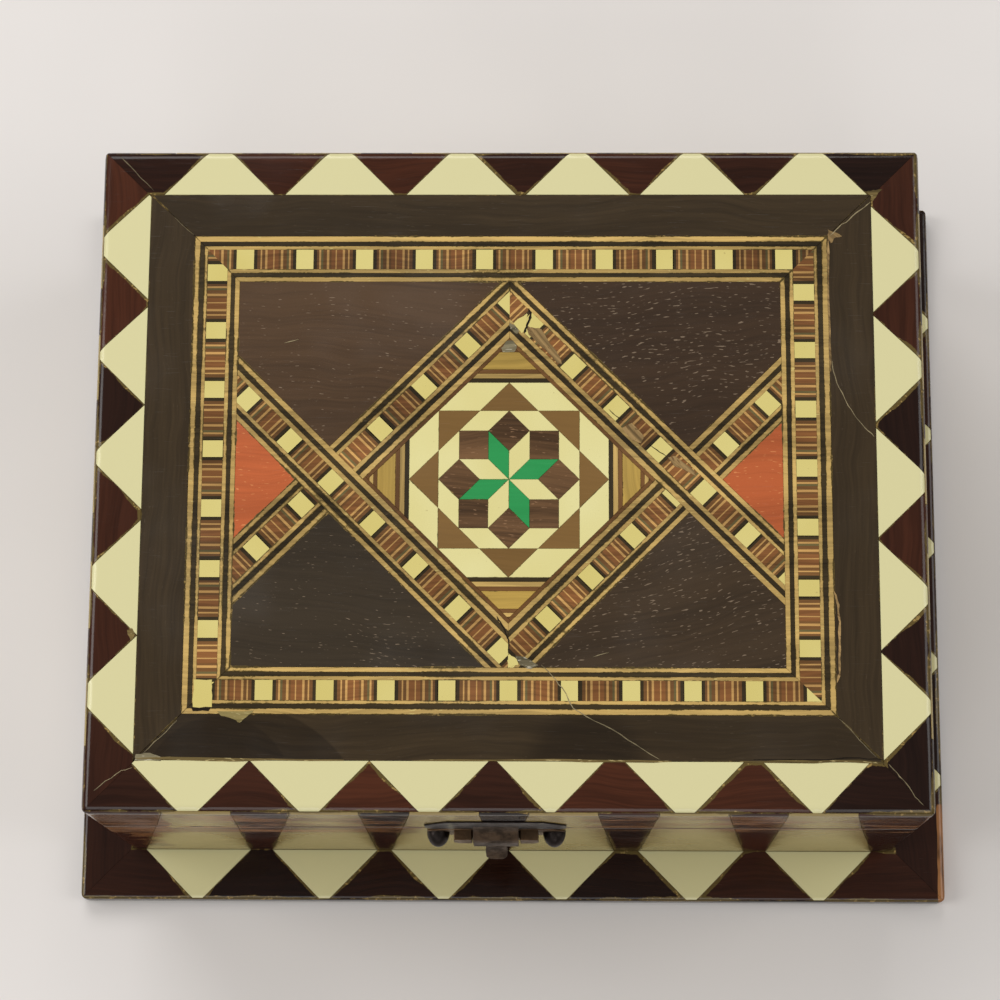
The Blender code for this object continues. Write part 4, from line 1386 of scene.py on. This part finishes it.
FLOOR_HALF = 12.0
FLOOR_SHADE = 0.93   # darkest clouds of the floor's paint
# Soft lights: name, place, width, height and power in watts
LAMPS = (("back_light", (-0.25, 0.85, 0.90), 0.9, 0.6, 6.5),
         ("left_light", (-0.95, 0.00, 0.85), 0.8, 0.7, 7.5),
         ("right_light", (0.95, 0.05, 0.85), 0.8, 0.7, 4.9),
         ("front_light", (-0.10, -0.95, 0.95), 0.9, 0.5, 3.2))
ROOM_COLOUR = (1.0, 0.98, 0.96, 1.0)
ROOM_LIGHT = 0.22
CAMERA_LENS = 103.25                        # millimetres, on a sensor 36 mm wide
CAMERA_PLACE = mm(6.381, -96.634, 475.221)
CAMERA_TURN = (12.493, 0.985, 0.312)        # degrees


def build_stage():
    """Pale floor, four soft lights round the box and the camera above its front."""
    scene = bpy.context.scene
    scene.view_settings.view_transform = "Standard"
    bm = bmesh.new()
    bmesh.ops.create_grid(bm, x_segments=1, y_segments=1, size=FLOOR_HALF)
    mesh = bpy.data.meshes.new("floor")
    bm.to_mesh(mesh)
    bm.free()
    floor = bpy.data.objects.new("floor", mesh)
    scene.collection.objects.link(floor)
    made, tree, shader, coordinates = start_material("floor_paint")
    colour = tint("floor")
    darker = tuple(value * FLOOR_SHADE for value in colour)
    clouds = smooth_step(tree, noise(tree, coordinates, 9.0, 3.0), 0.3, 0.7)
    tree.links.new(mix_colours(tree, clouds, colour, darker), shader.inputs["Base Color"])
    shader.inputs["Roughness"].default_value = 0.8
    mesh.materials.append(made)

    for name, place, width, height, power in LAMPS:
        data = bpy.data.lights.new(name, "AREA")
        data.shape = "RECTANGLE"
        data.size = width
        data.size_y = height
        data.energy = power
        lamp = bpy.data.objects.new(name, data)
        lamp.location = place
        lamp.rotation_euler = (-Vector(place)).to_track_quat("-Z", "Y").to_euler()
        scene.collection.objects.link(lamp)
    world = bpy.data.worlds.new("soft_room")
    world.use_nodes = True
    sky = world.node_tree.nodes["Background"]
    sky.inputs["Color"].default_value = ROOM_COLOUR
    sky.inputs["Strength"].default_value = ROOM_LIGHT
    scene.world = world

    data = bpy.data.cameras.new("camera")
    data.lens = CAMERA_LENS
    data.sensor_width = 36.0
    data.clip_start = 0.01
    camera = bpy.data.objects.new("camera", data)
    camera.location = CAMERA_PLACE
    camera.rotation_euler = tuple(math.radians(angle) for angle in CAMERA_TURN)
    scene.collection.objects.link(camera)
    scene.camera = camera


# Wear on the lid's face

# Cracks and open joints: finish, width and points in millimetres
WEAR_LINES = (
    ("pale", 0.12, ((4.9, -28.9), (6.5, -30.5), (8.0, -32.3), (9.6, -35.3), (11.5, -36.5),
                    (15.3, -38.4), (18.7, -40.6), (22.2, -42.8))),
    ("pale", 0.12, ((48.6, 17.6), (48.8, 15.9), (49.6, 13.4), (50.9, 10.6), (52.1, 8.7),
                    (53.4, 7.1), (54.7, 5.8))),
    ("pale", 0.10, ((48.4, -36.6), (50.3, -38.4), (52.1, -40.5), (53.9, -42.4))),
    ("pale", 0.12, ((48.7, 37.3), (50.1, 38.7), (51.6, 39.8), (53.4, 41.4), (55.0, 42.7))),
    ("pale", 0.09, ((-51.3, 40.2), (-48.3, 37.4))),
    ("pale", 0.09, ((-53.5, -42.1), (-51.1, -39.8), (-48.7, -37.3))),
    ("pale", 0.09, ((-60.1, 50.1), (-57.7, 47.7), (-54.7, 44.5))),
    ("pale", 0.14, ((55.7, -43.4), (56.9, -44.7), (58.0, -46.0), (59.4, -48.2), (60.6, -49.4))),
    ("pale", 0.09, ((-60.6, -47.7), (-59.0, -46.3), (-56.6, -44.7), (-55.1, -44.3))),
    ("pale", 0.11, ((12.5, -27.7), (14.9, -27.0))),
    ("pale", 0.11, ((-34.1, 20.3), (-31.9, 20.9))),
    ("dark", 0.20, ((-1.7, -21.6), (-1.2, -22.4), (-0.5, -23.7), (0.1, -25.2), (0.1, -27.4))),
    ("dark", 0.35, ((2.9, 25.8), (3.2, 25.1), (3.0, 24.0), (2.6, 22.8), (2.2, 21.9))),
    ("dark", 0.10, ((15.0, 10.0), (15.9, 9.1), (17.1, 8.2))),
    ("dark", 0.10, ((21.0, 4.6), (22.2, 3.7), (23.5, 2.8))),
    ("fibre", 0.35, ((48.2, -17.7), (48.8, -19.8), (49.0, -22.4), (48.9, -26.6), (48.8, -30.0),
                     (48.4, -31.4))),
    ("fibre", 0.30, ((48.4, 36.9), (48.3, 30.0), (48.4, 22.4), (48.4, 15.8))),
    ("glue", 0.45, ((34.0, -43.1), (44.9, -43.15), (51.5, -43.0), (55.3, -43.3))),
    ("dark", 0.12, ((36.0, -42.8), (44.9, -42.8), (51.5, -42.5), (55.0, -42.8))),
    ("glue", 0.40, ((-54.6, -42.9), (-40.0, -43.1), (-24.0, -43.1))),
    ("glue", 0.35, ((-14.0, -43.1), (2.0, -43.0), (16.0, -43.1), (24.0, -43.1))),
)

# Lifted, filled or missing bits of veneer: finish and outline in millimetres
WEAR_PATCHES = (
    ("grey", ((-54.6, -42.3), (-52.5, -42.1), (-50.9, -42.7), (-50.9, -43.3), (-54.7, -43.3))),
    ("glue", ((54.3, 44.3), (55.4, 44.6), (56.8, 44.7), (56.0, 43.8), (55.3, 42.8), (55.1, 43.6))),
    ("fibre", ((48.4, 38.3), (49.2, 37.9), (50.5, 37.2), (49.3, 36.9), (48.8, 36.1), (48.4, 36.9))),
    ("cream", ((-46.4, -31.2), (-43.7, -31.2), (-43.7, -32.8), (-43.6, -35.3), (-46.4, -35.3))),
    ("dark", ((-46.7, -35.4), (-43.6, -35.4), (-44.1, -35.9), (-46.4, -35.9))),
    ("straw", ((-42.8, -35.9), (-37.4, -35.8), (-38.5, -36.8), (-39.4, -37.6), (-40.3, -37.1),
              (-42.2, -36.6))),
    ("cream", ((-0.1, -28.2), (0.4, -27.5), (1.3, -28.1), (1.5, -28.9), (0.1, -29.3))),
    ("grey", ((1.1, -27.5), (2.4, -27.7), (3.4, -28.2), (4.5, -28.9), (3.4, -29.5), (1.7, -28.9))),
    ("grey", ((0.0, 23.5), (0.8, 23.1), (1.5, 22.2), (1.0, 21.8), (0.1, 22.5))),
    ("grey", ((-1.3, 19.5), (-0.5, 20.6), (0.5, 20.7), (1.1, 19.9), (0.7, 18.9), (-1.0, 18.9))),
    ("fibre", ((2.5, 23.0), (3.4, 22.8), (4.8, 22.5), (5.4, 21.6), (5.9, 20.6), (6.6, 19.7),
               (7.6, 18.2), (7.9, 17.1), (7.1, 17.3), (5.9, 18.7), (4.6, 19.9), (2.9, 21.6))),
    ("cream", ((0.8, 23.7), (2.6, 25.0), (2.7, 24.2), (2.3, 22.5), (1.9, 21.8), (0.5, 23.5))),
    ("glue", ((-56.5, -23.8), (-55.8, -23.5), (-55.3, -24.4), (-55.9, -25.5))),
    ("fibre", ((16.9, 7.1), (18.4, 7.9), (20.2, 5.9), (19.8, 4.8), (18.6, 5.1))),
    ("fibre", ((23.8, 2.6), (24.9, 2.8), (27.7, 0.6), (28.1, -0.3), (26.3, 0.6), (24.7, 1.3))),
)
WEAR_KINDS = ("pale", "dark", "fibre", "glue", "grey", "cream", "straw")
FILM = mm(0.05)          # thickness of a crack's or patch's film
PATCH_LIFT = mm(0.03)    # how far it stands above the marquetry
CRACK_LIFT = mm(0.045)


def add_patch(bm, points, slot, top):
    """Closed thin film with any outline."""
    add_loft(bm, [[(x, y, z) for x, y in points] for z in (top - FILM, top)], slot)


def ragged(points, chance, closed):
    """Outline or line with a strayed point between each two of its own."""
    wander = banding_sizes().wander
    found = []
    last = len(points) if closed else len(points) - 1
    for i, here in enumerate(points):
        found.append(Vector(here))
        if i < last:
            after = Vector(points[(i + 1) % len(points)])
            for share in (0.33, 0.67):
                stray = Vector((chance.uniform(-wander, wander), chance.uniform(-wander, wander)))
                found.append(Vector(here).lerp(after, share) + stray)
    return found


def add_crack(bm, points, width, slot, top, chance):
    """Ribbon along a line, uneven in width and thin at both ends."""
    line = ragged(points, chance, False)
    left = []
    right = []
    for i, point in enumerate(line):
        along = (line[min(i + 1, len(line) - 1)] - line[max(i - 1, 0)]).normalized()
        across = Vector((-along.y, along.x)) * (width / 2 * chance.uniform(0.55, 1.35))
        if i in (0, len(line) - 1):
            across *= 0.3
        left.append(point + across)
        right.append(point - across)
    add_patch(bm, left + right[::-1], slot, top)


def build_wear():
    """Cracks, open joints, fillings and frayed veneer on the lid's face."""
    chance = random.Random(SEEDS["wear"])
    bm = new_bm()
    for kind, outline in WEAR_PATCHES:
        points = ragged([mm(*point) for point in outline], chance, True)
        add_patch(bm, points, WEAR_KINDS.index(kind), FACE + PATCH_LIFT)
    for kind, width, line in WEAR_LINES:
        points = [mm(*point) for point in line]
        add_crack(bm, points, mm(width), WEAR_KINDS.index(kind), FACE + CRACK_LIFT, chance)

    def worn_finish(name, colour, contrast, gloss, pale=None, **values):
        return veneer_material(name, srgb(*colour), contrast=contrast, glue=0.0, gloss=gloss,
                               pale=pale and srgb(*pale), shine=0.1, **values)

    finishes = [
        worn_finish("pale_crack", (150, 136, 104), 0.8, 0.5),
        worn_finish("dark_crack", (34, 25, 16), 0.5, 0.6),
        worn_finish("frayed_fibres", (164, 134, 88), 1.0, 0.6, (92, 66, 40), angle=0.8, pores=0.7,
                    density=1.0),
        worn_finish("old_glue", (118, 100, 60), 1.0, 0.45, (190, 172, 120), pores=0.6, density=1.0),
        worn_finish("grey_filler", (132, 122, 94), 1.0, 0.5, (188, 180, 158), pores=0.7,
                    density=1.0),
        cream_material("patch_cream", tint("yellow"), glue=0.0),
        worn_finish("straw_filler", (150, 134, 84), 0.8, 0.4, (204, 190, 140), pores=0.4,
                    density=0.8),
    ]
    make_piece("lid_wear", bm, finishes, "lid")


# Catch and hinges

CATCH_X = mm(-2.0)


def catch_point(x, reach, z):
    """Point of the catch, in millimetres: x from its middle, distance before the case's face, z."""
    return CATCH_X + mm(x), -CASE_Y - mm(reach), mm(z)


def metal_bar(bm, outline, back, front, slot=0):
    """Closed plate from an (x, z) outline, between two distances before the case's face."""
    add_loft(bm, [[catch_point(x, reach, z) for x, z in outline] for reach in (back, front)], slot)


def metal_strip(bm, widths, outer, thick):
    """Bent strip across x from its outer (distance, z) line, with a width at each point."""
    points = [Vector(point) for point in outer]
    rings = []
    for i, (point, width) in enumerate(zip(points, widths)):
        along = (points[min(i + 1, len(points) - 1)] - points[max(i - 1, 0)]).normalized()
        inner = point + Vector((along.y, -along.x)) * thick
        half = width / 2
        rings.append([catch_point(-half, *point), catch_point(half, *point),
                      catch_point(half, *inner), catch_point(-half, *inner)])
    add_loft(bm, rings)


def bevel_piece(obj, width, segments=2):
    modifier = obj.modifiers.new("Bevel", "BEVEL")
    modifier.width = width
    modifier.segments = segments
    modifier.limit_method = "ANGLE"


def build_nail_tree():
    """Geometry nodes for a row of domed nails along X, sunk halfway into what they hold."""
    tree, source = new_geometry_tree("nail_row", [
        ("Float", "Radius", mm(0.8)), ("Float", "Dome", mm(0.5)), ("Float", "Spacing", mm(5.0)),
        ("Int", "Nails", 3), ("Int", "Seed", 1), ("Material", "Finish", None)])
    dome = add_node(tree, "GeometryNodeMeshUVSphere", {"Segments": 20, "Rings": 12, "Radius": 1.0})
    start = times(tree, source["Spacing"], minus(tree, source["Nails"], 1.0), -0.5)
    line = add_node(tree, "GeometryNodeMeshLine",
                    {"Count": source["Nails"], "Start Location": combine(tree, X=start),
                     "Offset": combine(tree, X=source["Spacing"])}, mode="OFFSET")
    size = combine(tree, X=source["Radius"], Y=source["Dome"], Z=source["Radius"])
    turn = add_node(tree, "FunctionNodeRandomValue", {2: 0.0, 3: 6.0, "Seed": source["Seed"]},
                    data_type="FLOAT")
    placed = add_node(tree, "GeometryNodeInstanceOnPoints",
                      {"Points": line.outputs[0], "Instance": dome.outputs["Mesh"],
                       "Rotation": combine(tree, Y=turn.outputs[1]), "Scale": size})
    real = add_node(tree, "GeometryNodeRealizeInstances", {"Geometry": placed.outputs[0]})
    smooth = add_node(tree, "GeometryNodeSetShadeSmooth", {"Geometry": real.outputs[0]})
    done = add_node(tree, "GeometryNodeSetMaterial",
                    {"Geometry": smooth.outputs[0], "Material": source["Finish"]})
    end_geometry_tree(tree, done.outputs[0])


def nail_row(name, place, radius, dome, spacing, count, finish, seed, body, replaced=()):
    """Row of domed nails as one piece."""
    mesh = run_nodes(name, "nail_row", {"Radius": radius, "Dome": dome, "Spacing": spacing,
                                        "Nails": count, "Finish": finish, "Seed": seed})
    mesh.transform(Matrix.Translation(place))
    mesh.name = name
    add_piece(name, mesh, body, replaced)


# The catch in millimetres: (x, z) outlines, and (distance before the face, z) lines of its strips
LEAF_OUTLINE = ((-10.7, 40.6), (-9.9, 39.45), (9.9, 39.45), (10.7, 40.6), (10.7, 43.9),
                (7.2, 47.9), (-7.2, 47.9), (-10.7, 43.9))
PLATE_OUTLINE = ((-10.5, 33.2), (-8.2, 30.6), (8.2, 30.6), (10.5, 33.2), (10.5, 36.2),
                 (8.2, 38.4), (-8.2, 38.4), (-10.5, 36.2))
BAR_END_OUTLINE = ((3.70, 37.9), (6.4, 37.9), (6.5, 34.4), (5.8, 32.9), (3.70, 32.9))
BAR_MIDDLE_OUTLINE = ((-3.7, 36.4), (3.7, 36.4), (3.7, 33.6), (-3.7, 33.6))
STRAP_LINE = ((0.30, 42.6), (0.42, 41.4), (0.90, 40.2), (1.85, 39.1), (2.25, 38.2),
              (2.32, 36.5), (2.28, 33.2))
STRAP_WIDTHS = (6.9,) * len(STRAP_LINE)
TAB_LINE = ((2.30, 33.9), (2.5, 32.6), (2.9, 31.2), (3.6, 30.0), (3.9, 29.4))
TAB_WIDTHS = (3.1, 3.2, 3.4, 3.2, 1.9)
STRIP_T = 0.5
LEAF_FACES = (0.01, 0.27)        # back and front of the thin plates, before the case's face
BAR_END_FACES = (0.2, 1.8)
BAR_MIDDLE_FACES = (0.2, 1.3)
CATCH_BEVEL = mm(0.09)
CATCH_NAILS = (("left", -10.9), ("right", 6.9))
CATCH_NAIL_Z = 34.5
CATCH_NAIL_SUNK = mm(0.20)       # how far the middle of a dome stands before the face
CATCH_NAIL_R = mm(1.75)
CATCH_NAIL_DOME = mm(2.35)


def build_catch():
    """Thin leaf with its strap and thumb tab on the lid, plate with its slotted bar on the case,
    and the two domed nails."""
    bronze = metal_material("old_bronze", tint("bronze"), 0.38, 0.75)
    # The plate and its bar get bronze painted twice as bright: painted light against the shade that
    # the leaf above casts on them
    painted_bright_bronze = tuple(min(1.0, value * 2.0) for value in tint("bronze"))
    worn = metal_material("bronze_painted_bright", painted_bright_bronze, 0.34, 0.55)
    iron = metal_material("dark_nails", tint("iron"), 0.28, 0.6)
    bm = new_bm()
    # The leaf takes the dark nails' finish: its bronze is painted dark as shade under the lid's edge
    # and the strap
    metal_bar(bm, LEAF_OUTLINE, *LEAF_FACES, 1)
    metal_strip(bm, STRAP_WIDTHS, STRAP_LINE, STRIP_T)
    metal_strip(bm, TAB_WIDTHS, TAB_LINE, STRIP_T)
    hasp = make_piece("hasp", bm, [bronze, iron], "lid", ("catch_hasp",))
    bevel_piece(hasp, CATCH_BEVEL)
    bm = new_bm()
    metal_bar(bm, PLATE_OUTLINE, *LEAF_FACES)
    for sign in (-1, 1):
        metal_bar(bm, [(sign * x, z) for x, z in BAR_END_OUTLINE], *BAR_END_FACES)
    metal_bar(bm, BAR_MIDDLE_OUTLINE, *BAR_MIDDLE_FACES)
    # The plate and its bar take the brightened bronze, as painted light
    plate = make_piece("catch_bar", bm, [worn], "case", ("catch_plate",))
    bevel_piece(plate, CATCH_BEVEL)
    for number, (side, x) in enumerate(CATCH_NAILS):
        place = Vector((mm(x), -CASE_Y - CATCH_NAIL_SUNK, mm(CATCH_NAIL_Z)))
        nail_row("domed_nail_" + side, place, CATCH_NAIL_R, CATCH_NAIL_DOME, mm(1.0), 1, iron,
                 number, "case", ("catch_nail_" + side,))


HINGE_BEVEL = mm(0.08)
HINGE_NAIL_Z = mm(4.0)       # from a leaf's far edge to its nails
HINGE_NAIL_IN = mm(0.75)     # from a leaf's back to the middle of their domes
HINGE_NAIL_R = mm(0.95)
HINGE_NAIL_DOME = mm(0.6)
HINGE_NAIL_SPACING = mm(5.4)
WELD = mm(0.005)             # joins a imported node's loose corners


def build_hinges():
    """Hinge leaves with softened edges, held by small domed nails."""
    brass = metal_material("dull_brass", tint("brass"), 0.30, 0.45)
    number = 0
    for side in ("left", "right"):
        for part, body in (("lower", "case"), ("upper", "lid")):
            name = side + "_" + part
            node = "hinge_" + name
            bm = bmesh.new()
            bm.from_mesh(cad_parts[node].data)
            bmesh.ops.remove_doubles(bm, verts=bm.verts, dist=WELD)
            leaf = make_piece("leaf_" + name, bm, [brass], body, (node,))
            bevel_piece(leaf, HINGE_BEVEL, 1)
            low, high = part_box(node)
            z = low.z + HINGE_NAIL_Z if part == "lower" else high.z - HINGE_NAIL_Z
            place = Vector(((low.x + high.x) / 2, low.y + HINGE_NAIL_IN, z))
            number += 1
            nail_row("hinge_nails_" + name, place, HINGE_NAIL_R, HINGE_NAIL_DOME,
                     HINGE_NAIL_SPACING, 3, brass, number, body)


def build_boards():
    """Give the two boards their finish and leave their meshes as they are."""
    plain = plain_wood_material("bare_wood_board")
    for name in ("bottom_board", "lid_panel"):
        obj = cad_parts[name]
        obj.data.materials.clear()
        obj.data.materials.append(plain)


# Operators

class INLAID_OT_finishes(bpy.types.Operator):
    """Shared effects of the finishes and the tree of the block rows"""
    bl_idname = "inlaid_box.finishes"
    bl_label = "Finishes and node trees"

    def execute(self, context):
        build_wood_figure()
        build_glue_edge()
        build_lacquer()
        build_front_wear_and_shade()
        build_block_tree()
        build_nail_tree()
        return {"FINISHED"}


class INLAID_OT_plinth(bpy.types.Operator):
    """Plinth strips with their rows of cream points"""
    bl_idname = "inlaid_box.plinth"
    bl_label = "Plinth"

    def execute(self, context):
        for number, side in enumerate(SIDES):
            build_plinth_side(side, SEEDS["plinth"] + number)
        return {"FINISHED"}


class INLAID_OT_walls(bpy.types.Operator):
    """Case walls with their cream pieces"""
    bl_idname = "inlaid_box.walls"
    bl_label = "Case walls"

    def execute(self, context):
        for number, side in enumerate(SIDES):
            build_wall(side, SEEDS["wall"] + number)
        return {"FINISHED"}


class INLAID_OT_lid_border(bpy.types.Operator):
    """Pointed border of the lid, over its edge and down its sides"""
    bl_idname = "inlaid_box.lid_border"
    bl_label = "Lid border"

    def execute(self, context):
        for number, side in enumerate(SIDES):
            build_lid_side(side, SEEDS["lid"] + number)
        return {"FINISHED"}


class INLAID_OT_dark_frame(bpy.types.Operator):
    """Plain dark frame inside the border"""
    bl_idname = "inlaid_box.dark_frame"
    bl_label = "Dark frame"

    def execute(self, context):
        for side in SIDES:
            build_dark_frame(side)
        return {"FINISHED"}


class INLAID_OT_frame_banding(bpy.types.Operator):
    """Banding round the picture"""
    bl_idname = "inlaid_box.frame_banding"
    bl_label = "Frame banding"

    def execute(self, context):
        for number, side in enumerate(SIDES):
            build_frame_banding(side, SEEDS["frame banding"] + number)
        return {"FINISHED"}


class INLAID_OT_diamond_banding(bpy.types.Operator):
    """Diagonal bands of the diamond and its crossings"""
    bl_idname = "inlaid_box.diamond_banding"
    bl_label = "Diamond banding"

    def execute(self, context):
        for index in range(len(BANDS)):
            build_diamond_band(index)
        return {"FINISHED"}


class INLAID_OT_grounds(bpy.types.Operator):
    """Four dark panels of the picture"""
    bl_idname = "inlaid_box.grounds"
    bl_label = "Dark grounds"

    def execute(self, context):
        for index in range(len(PANELS)):
            build_panel(index)
        return {"FINISHED"}


class INLAID_OT_wedges(bpy.types.Operator):
    """Red triangles at the ends of the picture"""
    bl_idname = "inlaid_box.wedges"
    bl_label = "Red wedges"

    def execute(self, context):
        build_wedge("left", [("rise", None, -DIAMOND_OUT), ("fall", None, -DIAMOND_OUT)], 0.5)
        build_wedge("right", [("rise", DIAMOND_OUT, None), ("fall", DIAMOND_OUT, None)], 0.0)
        return {"FINISHED"}


class INLAID_OT_star(bpy.types.Operator):
    """Star tablet and the corner stacks round it"""
    bl_idname = "inlaid_box.star"
    bl_label = "Star"

    def execute(self, context):
        build_star()
        for name, key, sign in STAR_CORNERS:
            build_star_corner(name, key, sign)
        return {"FINISHED"}


class INLAID_OT_wear(bpy.types.Operator):
    """Cracks, fillings and frayed veneer on the lid"""
    bl_idname = "inlaid_box.wear"
    bl_label = "Wear"

    def execute(self, context):
        build_wear()
        return {"FINISHED"}


class INLAID_OT_catch(bpy.types.Operator):
    """Catch plate, hasp and nails"""
    bl_idname = "inlaid_box.catch"
    bl_label = "Catch"

    def execute(self, context):
        build_catch()
        return {"FINISHED"}


class INLAID_OT_hinges(bpy.types.Operator):
    """Two butt hinges at the back"""
    bl_idname = "inlaid_box.hinges"
    bl_label = "Hinges"

    def execute(self, context):
        build_hinges()
        return {"FINISHED"}


class INLAID_OT_inside(bpy.types.Operator):
    """Bottom board and the board under the picture"""
    bl_idname = "inlaid_box.inside"
    bl_label = "Inside boards"

    def execute(self, context):
        build_boards()
        return {"FINISHED"}


class INLAID_OT_stage(bpy.types.Operator):
    """Floor, lights and camera"""
    bl_idname = "inlaid_box.stage"
    bl_label = "Stage"

    def execute(self, context):
        build_stage()
        return {"FINISHED"}


STEPS = (INLAID_OT_finishes,
         INLAID_OT_plinth,
         INLAID_OT_walls,
         INLAID_OT_lid_border,
         INLAID_OT_dark_frame,
         INLAID_OT_frame_banding,
         INLAID_OT_diamond_banding,
         INLAID_OT_grounds,
         INLAID_OT_wedges,
         INLAID_OT_star,
         INLAID_OT_wear,
         INLAID_OT_catch,
         INLAID_OT_hinges,
         INLAID_OT_inside,
         INLAID_OT_stage)


class INLAID_PT_steps(bpy.types.Panel):
    """Building steps and the values that they read"""
    bl_idname = "INLAID_PT_steps"
    bl_label = "Inlaid Box"
    bl_space_type = "VIEW_3D"
    bl_region_type = "UI"
    bl_category = "Inlaid Box"

    def draw(self, context):
        layout = self.layout
        scene = context.scene
        for group in (scene.box_sizes, scene.banding_sizes, scene.box_colours):
            column = layout.column()
            for key in group.__annotations__:
                column.prop(group, key)
        for step in STEPS:
            layout.operator(step.bl_idname)


CLASSES = (BoxSizes, BandingSizes, BoxColours, *STEPS, INLAID_PT_steps)


def register():
    for cls in CLASSES:
        bpy.utils.register_class(cls)
    bpy.types.Scene.box_sizes = bpy.props.PointerProperty(type=BoxSizes)
    bpy.types.Scene.banding_sizes = bpy.props.PointerProperty(type=BandingSizes)
    bpy.types.Scene.box_colours = bpy.props.PointerProperty(type=BoxColours)


def unregister():
    del bpy.types.Scene.box_colours
    del bpy.types.Scene.banding_sizes
    del bpy.types.Scene.box_sizes
    for cls in reversed(CLASSES):
        bpy.utils.unregister_class(cls)


def main():
    register()
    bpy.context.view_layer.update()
    for step in STEPS:
        getattr(bpy.ops.inlaid_box, step.bl_idname.split(".")[1])()


if __name__ == "__main__":
    main()
